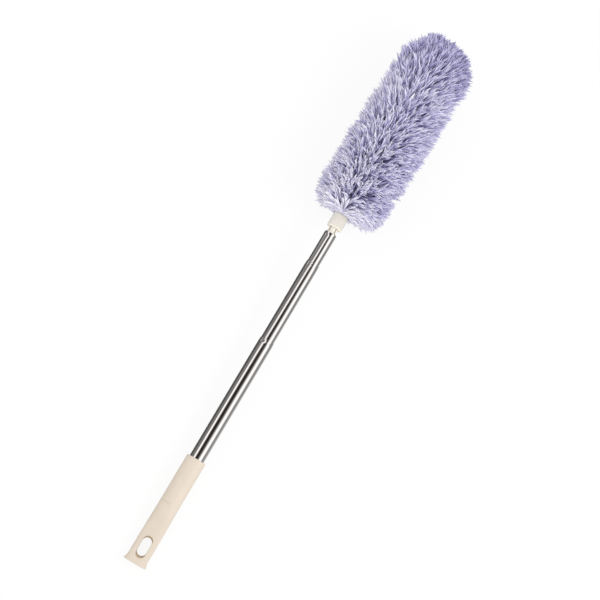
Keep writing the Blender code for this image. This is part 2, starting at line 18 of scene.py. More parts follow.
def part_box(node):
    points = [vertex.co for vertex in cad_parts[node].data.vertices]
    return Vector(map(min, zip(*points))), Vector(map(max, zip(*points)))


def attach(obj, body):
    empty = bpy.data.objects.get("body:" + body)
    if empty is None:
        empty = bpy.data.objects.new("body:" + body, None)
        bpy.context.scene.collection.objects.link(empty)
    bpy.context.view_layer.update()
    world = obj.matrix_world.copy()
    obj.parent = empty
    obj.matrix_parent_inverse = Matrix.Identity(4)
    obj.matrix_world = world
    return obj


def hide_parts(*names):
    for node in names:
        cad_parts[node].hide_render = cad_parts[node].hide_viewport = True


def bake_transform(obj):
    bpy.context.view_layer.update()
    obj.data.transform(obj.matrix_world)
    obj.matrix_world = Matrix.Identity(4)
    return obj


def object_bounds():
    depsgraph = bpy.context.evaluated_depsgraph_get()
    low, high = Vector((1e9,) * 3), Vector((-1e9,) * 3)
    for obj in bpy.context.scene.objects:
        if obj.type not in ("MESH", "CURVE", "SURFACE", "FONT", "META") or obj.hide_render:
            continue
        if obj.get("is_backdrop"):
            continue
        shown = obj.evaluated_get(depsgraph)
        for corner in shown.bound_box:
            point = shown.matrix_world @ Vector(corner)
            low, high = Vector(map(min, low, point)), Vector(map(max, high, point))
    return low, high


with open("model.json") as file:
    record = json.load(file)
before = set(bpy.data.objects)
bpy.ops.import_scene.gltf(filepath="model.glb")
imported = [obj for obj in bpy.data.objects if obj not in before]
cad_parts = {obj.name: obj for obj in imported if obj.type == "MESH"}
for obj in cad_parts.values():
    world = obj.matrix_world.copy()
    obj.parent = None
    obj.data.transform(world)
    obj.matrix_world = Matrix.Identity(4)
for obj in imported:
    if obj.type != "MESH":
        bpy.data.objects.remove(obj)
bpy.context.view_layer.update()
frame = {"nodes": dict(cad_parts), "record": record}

# %% [markdown]
# ## Camera
# The pole was photographed from almost straight above, with the head end a little further away, so
# that it tapers. A long lens and a small tilt give that. The picture is turned, because the pole
# runs from the lower left to the upper right.

# %% Place the camera
CAMERA_DISTANCE = 1.600
CAMERA_TILT = math.radians(9.0)
PICTURE_TURN = math.radians(30.72)
AIM_ALONG = 0.3723
AIM_ASIDE = 0.0092
LENS_MM = 78.18

look = Vector((math.sin(CAMERA_TILT), 0.0, -math.cos(CAMERA_TILT)))
up_pole = Vector((math.cos(CAMERA_TILT), 0.0, math.sin(CAMERA_TILT)))
aside = Vector((0.0, -1.0, 0.0))
right = math.sin(PICTURE_TURN) * up_pole + math.cos(PICTURE_TURN) * aside
upward = math.cos(PICTURE_TURN) * up_pole - math.sin(PICTURE_TURN) * aside
camera = bpy.data.objects.new("camera", bpy.data.cameras.new("camera"))
camera.data.lens = LENS_MM
camera.data.sensor_width = 36.0
camera.data.clip_start = 0.05
aim = Vector((AIM_ALONG, 0.0, 0.0)) + AIM_ASIDE * aside
turn = Matrix((right, upward, -look)).transposed()
camera.matrix_world = Matrix.Translation(aim - CAMERA_DISTANCE * look) @ turn.to_4x4()
bpy.context.scene.collection.objects.link(camera)
bpy.context.scene.camera = camera
bpy.context.scene.view_settings.view_transform = "Standard"
print("camera at", [round(v, 3) for v in camera.location])

# %% [markdown]
# ## Writing node trees as Python
# A finish is easier to read as arithmetic than as a list of links. This small class wraps one
# output socket. Adding or multiplying it adds a Math node, and its method add makes any other kind
# of node: first the node's settings, then the values or links of its sockets. The other methods are
# short names for what is used most. It serves shader trees and Geometry Nodes trees alike.


# %% Wrap a socket
class Wire:
    """One output socket of a node tree."""

    def __init__(self, tree, socket=None):
        self.tree = tree
        self.socket = socket

    def add(self, kind, settings=None, sockets=None, output=0):
        """Add a node, set it up, feed its sockets, and return one of its outputs."""
        node = self.tree.nodes.new(kind)
        for name, value in (settings or {}).items():
            if name == "stops":
                self.fill_ramp(node.color_ramp, value)
            else:
                setattr(node, name, value)
        for name, value in (sockets or {}).items():
            if isinstance(value, Wire):
                self.tree.links.new(value.socket, node.inputs[name])
            else:
                node.inputs[name].default_value = value
        return Wire(self.tree, node.outputs[output]) if node.outputs else None

    @staticmethod
    def fill_ramp(ramp, stops):
        while len(ramp.elements) < len(stops):
            ramp.elements.new(0.5)
        for element, (place, value) in zip(ramp.elements, stops):
            element.position = place
            element.color = (*value, 1.0) if isinstance(value, tuple) else (value, value, value, 1.0)

    def output(self, name):
        return Wire(self.tree, self.socket.node.outputs[name])

    def math(self, operation, *values):
        return self.add("ShaderNodeMath", {"operation": operation}, dict(enumerate(values)))

    def __add__(self, other):
        return self.math("ADD", self, other)

    def __sub__(self, other):
        return self.math("SUBTRACT", self, other)

    def __rsub__(self, other):
        return self.math("SUBTRACT", other, self)

    def __mul__(self, other):
        return self.math("MULTIPLY", self, other)

    def __truediv__(self, other):
        return self.math("DIVIDE", self, other)

    __radd__ = __add__
    __rmul__ = __mul__

    def between(self, low, high):
        """Rise smoothly from 0 at low to 1 at high."""
        return self.add("ShaderNodeMapRange", {"interpolation_type": "SMOOTHSTEP"},
                        {"Value": self, "From Min": low, "From Max": high})

    def tint(self, low, high):
        """Blend between two colours, with this value as the share of the second."""
        return self.add("ShaderNodeMix", {"data_type": "RGBA"}, {"Factor": self, 6: low, 7: high}, 2)

    def vector(self, operation, *values, output=0):
        sockets = dict(enumerate(values))
        return self.add("ShaderNodeVectorMath", {"operation": operation}, sockets, output)

    def scaled(self, factor):
        """Make a vector longer or shorter."""
        return self.add("ShaderNodeVectorMath", {"operation": "SCALE"}, {0: self, "Scale": factor})


def grey(value):
    return (value, value, value, 1.0)


print("wire ready")

# %% [markdown]
# ## Studio
# The light is even and soft, so the world does most of it and one broad lamp gives it a side. Polished
# tubes show nothing but their surroundings: here those are the bands of a light tent, given to
# reflected rays by their angle about the pole. A band is a pair of its angle from overhead, in
# degrees towards the picture's right, and its brightness. How far a reflected ray leans up the pole
# tells which tube it comes from. The dark gap overhead, which the camera looks through, narrows
# towards the head and drifts to the right, so that its stripe is thinner on each further tube. For
# rays that lean further than a straight tube sends them it is as wide as at first, so that it runs
# on through the shoulders. A little warmth is added to all bands, which shows in the dark ones.

# %% Make the world
TENT_BANDS = [
    (-180, 0.95), (-166, 0.30), (-152, 0.08), (-139, 0.70), (-118, 0.90), (-100, 0.12), (-89, 0.22),
    (-80, 0.27), (-72, 0.15), (-65, 0.14), (-58, 0.46), (-51, 1.14), (-41, 1.16), (-34, 0.80),
    (-27, 0.09), (-15, 0.02), (-6, 0.01), (0, 0.01), (7, 0.03), (14, 0.10), (22, 0.24), (29, 0.50),
    (37, 0.98), (46, 1.22), (61, 1.22), (70, 0.94), (79, 0.50), (89, 0.26), (112, 0.24), (144, 1.10),
    (160, 0.35), (180, 0.95),
]
WORLD_LEVEL = 1.00
WHITE_SEEN = 0.99
FIRST_TUBE = 0.07
TUBE_STEP = 0.13
LAST_TUBE = 1.3
PAST_TUBES = 2.6
GAP_NARROWS = 14 / 360
GAP_DRIFTS = 9.5 / 360
SOFT_MIDDLE = 0.011
WARMTH = (0.007, 0.002, 0.000)

world = bpy.data.worlds.new("light_tent")
world.use_nodes = True
world.node_tree.nodes.clear()
start = Wire(world.node_tree)
ray = start.add("ShaderNodeLightPath")
direction = start.add("ShaderNodeTexCoord").output("Generated")
split = start.add("ShaderNodeSeparateXYZ", {}, {0: direction})
around_pole = start.math("ARCTAN2", split.output("Y") * -1.0, split.output("Z")) / (2 * math.pi)
up_pole_share = start.math("MAXIMUM", split.output("X") - FIRST_TUBE, 0.0) / TUBE_STEP
on_tubes = 1 - up_pole_share.between(LAST_TUBE, PAST_TUBES)
narrower = start.math("MINIMUM", start.math("POWER", up_pole_share, 1.5), 1.5) * GAP_NARROWS * on_tubes
around_pole = around_pole - start.math("MINIMUM", up_pole_share, LAST_TUBE) * GAP_DRIFTS * on_tubes
off_middle = start.math("ABSOLUTE", around_pole) + SOFT_MIDDLE
around_pole = around_pole + narrower * around_pole / off_middle
stops = [(0.5 + degrees / 360, level) for degrees, level in TENT_BANDS]
bands = start.add("ShaderNodeValToRGB", {"stops": stops}, {"Fac": around_pole + 0.5})
bands = bands.vector("ADD", bands, WARMTH)
level = ray.output("Is Camera Ray").tint(grey(WORLD_LEVEL), grey(WHITE_SEEN))
tent = ray.output("Is Glossy Ray").tint(level, bands)
sky = start.add("ShaderNodeBackground", {}, {"Color": tent, "Strength": 1.0})
start.add("ShaderNodeOutputWorld", {}, {"Surface": sky})
bpy.context.scene.world = world
print("world of", len(TENT_BANDS), "bands")

# %% [markdown]
# ## Floor and lamp
# The duster lies on a white sheet, which touches the handle's foot and the underside of the head.
# The camera is given most of the sheet as plain white, and the rest as it is lit, so that a faint
# shadow stays. Polished steel is given a dim sheet, darkest on the left. Seen from below the sheet
# isn't there.

# %% Lay the floor
FLOOR_AT_ORIGIN = -0.0101
FLOOR_SLOPE = -0.0794
SHADOW_STRENGTH = 0.10
SHEET_FAR_RIGHT = 0.22
SHEET_RIGHT = 0.42
SHEET_LEFT = 0.10
FAR_TO_NEAR_RIGHT = (-0.12, -0.05)
RIGHT_TO_LEFT = (-0.008, 0.008)
LAMP_WATTS = 7.6
LAMP_DISTANCE = 1.8

grip_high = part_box("handle_grip")[1]
corners = [(x, y, FLOOR_AT_ORIGIN + FLOOR_SLOPE * x) for x, y in ((-4, -4), (5, -4), (5, 4), (-4, 4))]
floor_mesh = bpy.data.meshes.new("floor")
floor_mesh.from_pydata(corners, [], [(0, 1, 2, 3)])
floor = bpy.data.objects.new("floor", floor_mesh)
bpy.context.scene.collection.objects.link(floor)
sheet = bpy.data.materials.new("white_sheet")
sheet.use_nodes = True
sheet.node_tree.nodes.clear()
start = Wire(sheet.node_tree)
ray = start.add("ShaderNodeLightPath")
lit = start.add("ShaderNodeBsdfDiffuse", {}, {"Color": grey(1.0)})
plain = start.add("ShaderNodeEmission", {}, {"Color": grey(WHITE_SEEN), "Strength": 1.0})
beside = start.add("ShaderNodeSeparateXYZ", {}, {0: start.add("ShaderNodeTexCoord").output("Object")})
nearer = beside.output("Y").between(*FAR_TO_NEAR_RIGHT)
leftwards = beside.output("Y").between(*RIGHT_TO_LEFT)
mirrored = leftwards.tint(nearer.tint(grey(SHEET_FAR_RIGHT), grey(SHEET_RIGHT)), grey(SHEET_LEFT))
dim = start.add("ShaderNodeEmission", {}, {"Color": mirrored, "Strength": 1.0})
seen = ray.output("Is Camera Ray") * (1 - SHADOW_STRENGTH)
shown = start.add("ShaderNodeMixShader", {}, {0: seen, 1: lit, 2: plain})
shown = start.add("ShaderNodeMixShader", {}, {0: ray.output("Is Glossy Ray"), 1: shown, 2: dim})
under = start.add("ShaderNodeNewGeometry").output("Backfacing")
clear = start.add("ShaderNodeBsdfTransparent")
shown = start.add("ShaderNodeMixShader", {}, {0: under, 1: shown, 2: clear})
start.add("ShaderNodeOutputMaterial", {}, {"Surface": shown})
floor_mesh.materials.append(sheet)
floor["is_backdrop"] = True

softbox = bpy.data.objects.new("softbox", bpy.data.lights.new("softbox", "AREA"))
softbox.data.shape = "RECTANGLE"
softbox.data.size = 0.8
softbox.data.size_y = 0.6
softbox.data.energy = LAMP_WATTS
softbox.visible_glossy = False
to_lamp = Vector((0.12, -0.80, 1.0)).normalized()
softbox.location = Vector((0.4, 0.0, 0.0)) + LAMP_DISTANCE * to_lamp
softbox.rotation_mode = "QUATERNION"
softbox.rotation_quaternion = to_lamp.to_track_quat("Z", "Y")
bpy.context.scene.collection.objects.link(softbox)
print("floor and lamp ready; the handle's top is", round(1000 * grip_high.z, 1), "mm above the axis")

# %% [markdown]
# ## Finishes of plastic
# Moulded plastic is never one flat colour: it is a little mottled, its gloss wanders, and its skin
# has a very fine grain. The helper makes a material whose maths starts from Object coordinates, so
# the pattern stays on the piece when it moves. A piece's own marks, and its painted light or shade,
# come on top. The handle has a faint line where the bore ends inside its wall, and its slot walls get
# painted shade, a darker and browner cream. The stem's flutes get painted shade, and the collar gets
# painted light at its foot and on its left.


# %% Moulded plastics
def new_finish(name):
    """Return a material, its shader node and a wire to start its maths from."""
    made = bpy.data.materials.new(name)
    made.use_nodes = True
    return made, made.node_tree.nodes["Principled BSDF"], Wire(made.node_tree)


def plug(shader, **feeds):
    for name, wire in feeds.items():
        wire.tree.links.new(wire.socket, shader.inputs[name.replace("_", " ")])


def noise(start, place, scale, detail=3.0, roughness=0.5):
    return start.add("ShaderNodeTexNoise", {},
                     {"Vector": place, "Scale": scale, "Detail": detail, "Roughness": roughness})


def handle_line_and_slot_shade(start, place, clouds, colour, height):
    """Add the line at the bore's end, and painted shade on the walls of the slot, to a plastic."""
    split = start.add("ShaderNodeSeparateXYZ", {}, {0: place})
    along = split.output("X")
    off_line = start.math("ABSOLUTE", along + clouds * LINE_WANDER - LINE_WANDER / 2 - SEAT_LINE)
    line = (1 - off_line.between(*LINE_EDGE)) * clouds.between(0.3, 0.6)
    line = line * split.output("Y").between(*LINE_STARTS)
    colour = (line * LINE_STRENGTH).tint(colour, SEAT_COLOUR)
    # Painted shade: the slot's walls are tinted a darker, browner cream, where little light reaches.
    near_middle = 1 - start.math("ABSOLUTE", split.output("Y")).between(*SLOT_SIDE)
    under_face = 1 - start.math("ABSOLUTE", split.output("Z")).between(*SLOT_MOUTH)
    in_slot = near_middle * under_face * (1 - along.between(*PAST_SLOT))
    return in_slot.tint(colour, SLOT_SHADE_COLOUR), height - line


def stem_flute_shade(start, place, clouds, colour, height):
    """Paint shade into the flutes of the stem's neck, where the light hardly reaches."""
    split = start.add("ShaderNodeSeparateXYZ", {}, {0: place})
    turns = start.math("ARCTAN2", split.output("Z"), split.output("Y")) / (2 * math.pi)
    off_flute = start.math("ABSOLUTE", start.math("FRACT", (turns - RIB_TURN / 360) * RIB_COUNT) - 0.5)
    # Painted shade: each flute is tinted dark.
    flute = 1 - off_flute.between(*FLUTE_EDGE)
    return flute.tint(colour, FLUTE_SHADE_COLOUR), height - flute


def collar_painted_light(start, place, clouds, colour, height):
    """Paint light on the collar's foot and on its left side, which are tinted paler."""
    split = start.add("ShaderNodeSeparateXYZ", {}, {0: place})
    # Painted light: the collar's left side and its foot are tinted paler.
    left = split.output("Y").between(*COLLAR_SIDE) * COLLAR_LEFT_LIGHT_SHARE
    low = 1 - (split.output("X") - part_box("head_collar")[0].x).between(*COLLAR_EDGE)
    return low.tint(left.tint(colour, COLLAR_LEFT_LIGHT), COLLAR_FOOT_LIGHT), height


def moulded(name, pale, deep, roughness, marks_and_painted_light=None, grain=0.00003):
    """Return a satin plastic; its marks and its painted light or shade may change its colour and its
    height further.
    """
    made, shader, start = new_finish(name)
    place = start.add("ShaderNodeTexCoord").output("Object")
    clouds = noise(start, place, CLOUDS_PER_M, 3.0)
    flecks = noise(start, place, FLECKS_PER_M, 2.0)
    tone = clouds * (1 - FLECK_SHARE) + flecks * FLECK_SHARE
    colour = tone.between(0.3, 0.7).tint((*pale, 1.0), (*deep, 1.0))
    height = noise(start, place, GRAIN_PER_M, 2.0, 0.6)
    if marks_and_painted_light:
        colour, height = marks_and_painted_light(start, place, clouds, colour, height)
    gloss = clouds * CLOUD_GLOSS + flecks * FLECK_GLOSS + (roughness - (CLOUD_GLOSS + FLECK_GLOSS) / 2)
    bump = start.add("ShaderNodeBump", {}, {"Strength": 0.35, "Distance": grain, "Height": height})
    plug(shader, Base_Color=colour, Roughness=gloss, Normal=bump)
    shader.inputs["Specular IOR Level"].default_value = 0.3
    return made


CLOUDS_PER_M = 55.0
FLECKS_PER_M = 900.0
GRAIN_PER_M = 2600.0
FLECK_SHARE = 0.25
CLOUD_GLOSS = 0.16
FLECK_GLOSS = 0.06
SEAT_LINE = 0.0806
LINE_WANDER = 0.0014
LINE_EDGE = (0.0002, 0.0012)
LINE_STARTS = (-0.006, 0.006)
LINE_STRENGTH = 0.55
SEAT_COLOUR = (0.520, 0.430, 0.340, 1.0)
SLOT_SHADE_COLOUR = (0.700, 0.560, 0.405, 1.0)
SLOT_SIDE = (0.0068, 0.0074)
SLOT_MOUTH = (0.0072, 0.0084)
PAST_SLOT = (0.045, 0.050)
RIB_COUNT = 4
RIB_TURN = -7.0
FLUTE_EDGE = (0.05, 0.13)
FLUTE_SHADE_COLOUR = (0.290, 0.250, 0.210, 1.0)
COLLAR_SIDE = (-0.004, 0.010)
COLLAR_LEFT_LIGHT = (0.880, 0.850, 0.780, 1.0)
COLLAR_LEFT_LIGHT_SHARE = 0.6
COLLAR_EDGE = (0.0003, 0.0014)
COLLAR_FOOT_LIGHT = (0.960, 0.900, 0.790, 1.0)
cream = moulded("cream_plastic", (0.722, 0.634, 0.536), (0.692, 0.602, 0.500), 0.42, handle_line_and_slot_shade)
stem_cream = moulded("stem_plastic", (0.850, 0.815, 0.745), (0.820, 0.782, 0.708), 0.34, stem_flute_shade)
collar_cream = moulded("collar_plastic", (0.746, 0.714, 0.629), (0.722, 0.687, 0.597), 0.34,
                       collar_painted_light, 0.00001)
nylon = moulded("natural_nylon", (0.800, 0.790, 0.740), (0.760, 0.745, 0.690), 0.50)
print("plastics:", cream.name, stem_cream.name, collar_cream.name, nylon.name)

# %% [markdown]
# ## Finishes of steel
# The tubes are drawn, polished and plated. Drawing leaves hair-fine lines along the tube, so the
# noise is stretched along X: a Mapping node shrinks X before the texture reads it. Handling leaves
# soft smears, which change the gloss and, very little, the tone.


# %% Polished and plain steel
def steel(name, colour, roughness, smear, lines):
    """Return a metal with fine lines along X and soft smears in its gloss."""
    made, shader, start = new_finish(name)
    place = start.add("ShaderNodeTexCoord").output("Object")
    drawn = start.add("ShaderNodeMapping", {}, {"Vector": place, "Scale": (DRAWN_OUT, 1.0, 1.0)})
    hairlines = noise(start, drawn, HAIRLINES_PER_M, 2.0)
    smears = noise(start, place, SMEARS_PER_M, 3.0)
    tone = (hairlines * 0.5 + smears * 0.5).between(0.3, 0.7)
    dark = tuple(0.95 * c for c in colour)
    relief = {"Strength": 0.25, "Distance": lines, "Height": hairlines}
    plug(shader,
         Base_Color=tone.tint((*colour, 1.0), (*dark, 1.0)),
         Roughness=smears * smear + hairlines * 0.03 + (roughness - smear / 2),
         Normal=start.add("ShaderNodeBump", {}, relief))
    shader.inputs["Metallic"].default_value = 1.0
    return made


DRAWN_OUT = 0.02
HAIRLINES_PER_M = 3200.0
SMEARS_PER_M = 42.0
polished = steel("polished_steel", (0.930, 0.905, 0.890), 0.065, 0.04, 0.000004)
spring_steel = steel("spring_steel", (0.500, 0.480, 0.440), 0.36, 0.10, 0.00002)
print("steels:", polished.name, spring_steel.name)

# %% [markdown]
# ## Foam
# The wire core wears a grey foam sleeve under the pile. Foam is open cells: Voronoi cells sink towards
# their middles, and their middles are painted darker, as painted shade. The CAD's own bushes, springs
# and wires, which only show when the duster is taken apart, get their finishes here too.


# %% Foam
def open_foam(name, colour):
    made, shader, start = new_finish(name)
    place = start.add("ShaderNodeTexCoord").output("Object")
    cells = start.add("ShaderNodeTexVoronoi", {}, {"Vector": place, "Scale": CELLS_PER_M})
    # The cells' middles get painted shade and sink by the bump.
    rim = cells.between(0.1, 0.6)
    plug(shader,
         Base_Color=rim.tint((*(0.35 * c for c in colour), 1.0), (*colour, 1.0)),
         Normal=start.add("ShaderNodeBump", {}, {"Strength": 0.8, "Distance": 0.0004, "Height": rim}))
    shader.inputs["Roughness"].default_value = 0.95
    return made


CELLS_PER_M = 1400.0
foam = open_foam("grey_foam", (0.35, 0.35, 0.38))
hidden = {
    "natural_nylon": nylon,
    "spring_steel": spring_steel,
}
for part in frame["record"]["subparts"]:
    finish = hidden.get(part["material_slot"])
    if finish:
        mesh = frame["nodes"][part["node"]].data
        mesh.materials.clear()
        mesh.materials.append(finish)
print("dressed the CAD's own inner pieces")

# %% [markdown]
# ## Making a mesh from rings
# The handle is a skin over rings of points that follow each other along the pole, and so is the bar
# that cuts its slot. Bridging rings gives clean quads whose size is chosen, which a smooth highlight
# needs. The last step marks the edges that should stay crisp, and shades the rest smooth.


# %% Rings and skins
def add_piece(name, bm, finish, crisp_deg=35.0):
    """Turn a bmesh into an object with its faces pointing out and its crisp edges marked."""
    bmesh.ops.remove_doubles(bm, verts=bm.verts, dist=1e-7)
    bmesh.ops.recalc_face_normals(bm, faces=bm.faces)
    mesh = bpy.data.meshes.new(name)
    bm.to_mesh(mesh)
    bm.free()
    mesh.shade_smooth()
    mesh.set_sharp_from_angle(angle=math.radians(crisp_deg))
    mesh.materials.append(finish)
    made = bpy.data.objects.new(name, mesh)
    bpy.context.scene.collection.objects.link(made)
    return made


def skin(rings, closed_ends=True):
    """Bridge rings of points in turn."""
    bm = bmesh.new()
    rows = [[bm.verts.new(point) for point in ring] for ring in rings]
    count = len(rows[0])
    for low, high in zip(rows, rows[1:]):
        for i in range(count):
            bm.faces.new((low[i], low[(i + 1) % count], high[(i + 1) % count], high[i]))
    if closed_ends:
        bm.faces.new(rows[0])
        bm.faces.new(rows[-1])
    return bm


def ease(value, low, high):
    share = min(max((value - low) / (high - low), 0.0), 1.0)
    return share * share * (3 - 2 * share)


def mix(low, high, share):
    return low + (high - low) * share


print("ring tools ready")

# %% [markdown]
# ## Handle
# The real handle is one cream moulding: round where the tube enters it, flattened where the hand
# holds it, and flared at its square foot. A superellipse draws every section of it: exponent 2 is
# round, and a higher one squares the corners. Its points are spaced evenly, because the plain
# formula leaves wide gaps on the flats.

# %% Sections of the handle
HANDLE_LENGTH = grip_high.x
TOP_DIAMETER = 0.0252
GRIP_WIDTH = 0.0262
GRIP_THICKNESS = 0.0170
FLARE_WIDTH = 0.0298
FLARE_THICKNESS = 0.0200
FLARE_LENGTH = 0.0085
SQUARENESS = 3.2
ROUND_FROM = 0.087
FLAT_BELOW = 0.032
SIDES = 96


def even_superellipse(half_width, half_thickness, squareness, count):
    """Return points spaced evenly round a superellipse, across the X axis."""
    angles = np.linspace(0, 2 * np.pi, 4001)
    power = 2 / squareness
    y = np.sign(np.cos(angles)) * np.abs(np.cos(angles)) ** power * half_width
    z = np.sign(np.sin(angles)) * np.abs(np.sin(angles)) ** power * half_thickness
    walked = np.concatenate([[0], np.cumsum(np.hypot(np.diff(y), np.diff(z)))])
    wanted = np.linspace(0, walked[-1], count, endpoint=False)
    return list(zip(np.interp(wanted, walked, y), np.interp(wanted, walked, z)))


def handle_ring(along, shrink=0.0):
    roundness = ease(along, FLAT_BELOW, ROUND_FROM)
    flare = (1 - ease(along, 0.0, FLARE_LENGTH)) ** 1.5
    wider = (FLARE_WIDTH - GRIP_WIDTH) * flare
    thicker = (FLARE_THICKNESS - GRIP_THICKNESS) * flare
    width = mix(GRIP_WIDTH, TOP_DIAMETER, roundness) + wider
    thickness = mix(GRIP_THICKNESS, TOP_DIAMETER, roundness) + thicker
    squareness = mix(SQUARENESS, 2.0, roundness)
    outline = even_superellipse(width / 2 - shrink, thickness / 2 - shrink, squareness, SIDES)
    return [(along, y, z) for y, z in outline]


def bore_ring(along, radius):
    return [(along, y, z) for y, z in even_superellipse(radius, radius, 2.0, SIDES)]


print("section at the grip:", len(handle_ring(0.05)), "points")

# %% [markdown]
# ## The handle's edges and its hanging slot
# The foot and the rim are rounded with a few rings on a quarter circle, as a mould leaves them. The
# slot is cut by a Boolean. Its cutter is one obround bar, narrowest halfway, because the mould's two
# cores met there and were drawn out each way. At both mouths the bar grows in a quarter circle, so
# that the cut leaves soft lips and not a knife edge.

# %% Build the handle
FOOT_ROUND = 0.0006
RIM_ROUND = 0.0012
TUBE_SEAT = 0.078
SLOT_LENGTH = 0.0232
SLOT_WIDTH = 0.0117
SLOT_DRAFT_ENDS = 0.0026
SLOT_DRAFT_SIDES = 0.0002
SLOT_FROM_END = 0.0223
LIP_ROUND = 0.0006
INSIDE_LIPS = GRIP_THICKNESS / 2 - LIP_ROUND
BORE_CLEARANCE = 0.0003
MOUTH_BEVEL = 0.0004

outer_low, outer_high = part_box("outer_tube")
OUTER_RADIUS = (outer_high.z - outer_low.z) / 2


def quarter(radius, steps):
    """Return (height, inset) pairs along a quarter circle, from the face to the side."""
    turns = [math.pi / 2 * i / steps for i in range(steps + 1)]
    return [(radius * (1 - math.cos(t)), radius * (1 - math.sin(t))) for t in turns]


def slot_ring(height, grow, steps=20):
    """Return the slot's outline at one height, drafted and then grown by its lip."""
    share = min(abs(height) / INSIDE_LIPS, 1.0)
    reach = SLOT_WIDTH / 2 + SLOT_DRAFT_SIDES * share + grow
    straight = (SLOT_LENGTH - SLOT_WIDTH) / 2 + (SLOT_DRAFT_ENDS - SLOT_DRAFT_SIDES) * share
    ring = []
    for end in (1, -1):
        for i in range(steps + 1):
            angle = -math.pi / 2 + math.pi * i / steps
            x = end * (straight + math.cos(angle) * reach)
            ring.append((SLOT_FROM_END + x, end * math.sin(angle) * reach, height))
    return ring


def cut(target, cutter):
    """Cut one object out of another and apply it."""
    modifier = target.modifiers.new("cut", "BOOLEAN")
    modifier.operation = "DIFFERENCE"
    modifier.solver = "EXACT"
    modifier.object = cutter
    graph = bpy.context.evaluated_depsgraph_get()
    made = bpy.data.meshes.new_from_object(target.evaluated_get(graph))
    target.modifiers.clear()
    target.data = made
    bpy.data.objects.remove(cutter)


bore = OUTER_RADIUS + BORE_CLEARANCE
rings = [handle_ring(height, inset) for height, inset in quarter(FOOT_ROUND, 4)]
rings += [handle_ring(along) for along in np.linspace(FOOT_ROUND, FLARE_LENGTH, 10)[1:]]
rings += [handle_ring(along) for along in np.linspace(FLARE_LENGTH, HANDLE_LENGTH - RIM_ROUND, 72)[1:]]
rim = reversed(quarter(RIM_ROUND, 6)[:-1])
rings += [handle_ring(HANDLE_LENGTH - height, inset) for height, inset in rim]
rings += [bore_ring(HANDLE_LENGTH, bore + MOUTH_BEVEL), bore_ring(HANDLE_LENGTH - MOUTH_BEVEL, bore)]
down_bore = np.linspace(HANDLE_LENGTH - MOUTH_BEVEL, TUBE_SEAT, 6)[1:]
rings += [bore_ring(along, bore) for along in down_bore]
handle = add_piece("handle_moulding", skin(rings), cream)

lip = [(INSIDE_LIPS + LIP_ROUND * math.sin(t), LIP_ROUND * (1 - math.cos(t)))
       for t in np.linspace(0, math.radians(80), 7)]
above = [(lip[-1][0] + 0.0008, lip[-1][1] + 0.0026)]
profile = [(-height, grow) for height, grow in reversed(lip + above)] + [(0.0, 0.0)] + lip + above
cutter = add_piece("slot_cutter", skin([slot_ring(height, grow) for height, grow in profile]), cream)
cut(handle, cutter)
handle.data.shade_smooth()
handle.data.set_sharp_from_angle(angle=math.radians(32))
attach(handle, "handle")
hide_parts("handle_grip")
print("handle:", len(handle.data.polygons), "faces")

# %% [markdown]
# ## Telescopic tubes
# Each tube is thin steel strip rolled and welded, with its mouth drawn in smoothly to the next tube.
# Its wall is a short profile of (along, radius) pairs, which is turned about the pole like work on
# a lathe. Many sides keep the reflections straight.


# %% Turn the tubes
def turned(name, profile, finish, sides=SIDES, crisp_deg=35.0):
    """Turn a closed profile about the X axis."""
    bm = bmesh.new()
    angles = [2 * math.pi * i / sides for i in range(sides)]
    rows = [[bm.verts.new((along, radius * math.cos(a), radius * math.sin(a))) for a in angles]
            for along, radius in profile]
    for low, high in zip(rows, rows[1:] + rows[:1]):
        for i in range(sides):
            bm.faces.new((low[i], low[(i + 1) % sides], high[(i + 1) % sides], high[i]))
    return add_piece(name, bm, finish, crisp_deg)


TUBE_WALL = 0.0004
NECK_LENGTH = 0.0060
SHOULDER_LENGTH = 0.0050
NECK_CLEARANCE = 0.00015


def tube_wall(foot, mouth, radius, passing=None):
    """Return a tube's wall as a closed profile; passing is the radius of the tube inside it."""
    inner = radius - TUBE_WALL
    roll = [(mouth - TUBE_WALL / 2 + TUBE_WALL / 2 * math.sin(t), TUBE_WALL / 2 * (math.cos(t) - 1))
            for t in np.linspace(0, math.pi / 2, 4)]
    shoulder_foot = mouth - NECK_LENGTH
    lip_foot = shoulder_foot + SHOULDER_LENGTH
    along = list(np.linspace(foot, shoulder_foot, 24))
    if passing is None:
        outside = [(x, radius) for x in along] + [(x, radius + drop) for x, drop in roll]
        return outside + [(mouth, inner), (foot, inner)]
    neck_inner = passing + NECK_CLEARANCE
    neck_outer = neck_inner + TUBE_WALL
    shoulder = [(shoulder_foot + SHOULDER_LENGTH * s, mix(radius, neck_outer, ease(s, 0, 1)))
                for s in np.linspace(0, 1, 13)]
    outside = [(x, radius) for x in along[:-1]] + shoulder
    outside += [(x, neck_outer + drop) for x, drop in roll]
    inside = [(mouth, neck_inner), (lip_foot, neck_inner), (shoulder_foot, inner), (foot, inner)]
    return outside + inside


middle_low, middle_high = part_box("middle_tube")
inner_low, inner_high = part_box("inner_tube")
MIDDLE_RADIUS = (middle_high.z - middle_low.z) / 2
INNER_RADIUS = (inner_high.z - inner_low.z) / 2
tubes = [
    ("outer_tube", outer_low.x, outer_high.x, OUTER_RADIUS, MIDDLE_RADIUS, "handle"),
    ("middle_tube", middle_low.x, middle_high.x, MIDDLE_RADIUS, INNER_RADIUS, "middle_pole"),
    ("inner_tube", inner_low.x, inner_high.x, INNER_RADIUS, None, "inner_pole"),
]
for node, foot, mouth, radius, passing, body in tubes:
    tube = turned("polished_" + node, tube_wall(foot, mouth, radius, passing), polished)
    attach(tube, body)
    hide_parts(node)
    print(tube.name, "out to", round(1000 * mouth, 1), "mm,", round(2000 * radius, 1), "mm across")

# %% [markdown]
# ## Stem
# A cream plug fills the top tube and carries a short threaded neck, on which the head screws. The
# stem is turned like the tubes, and the ribs round its neck are made next.

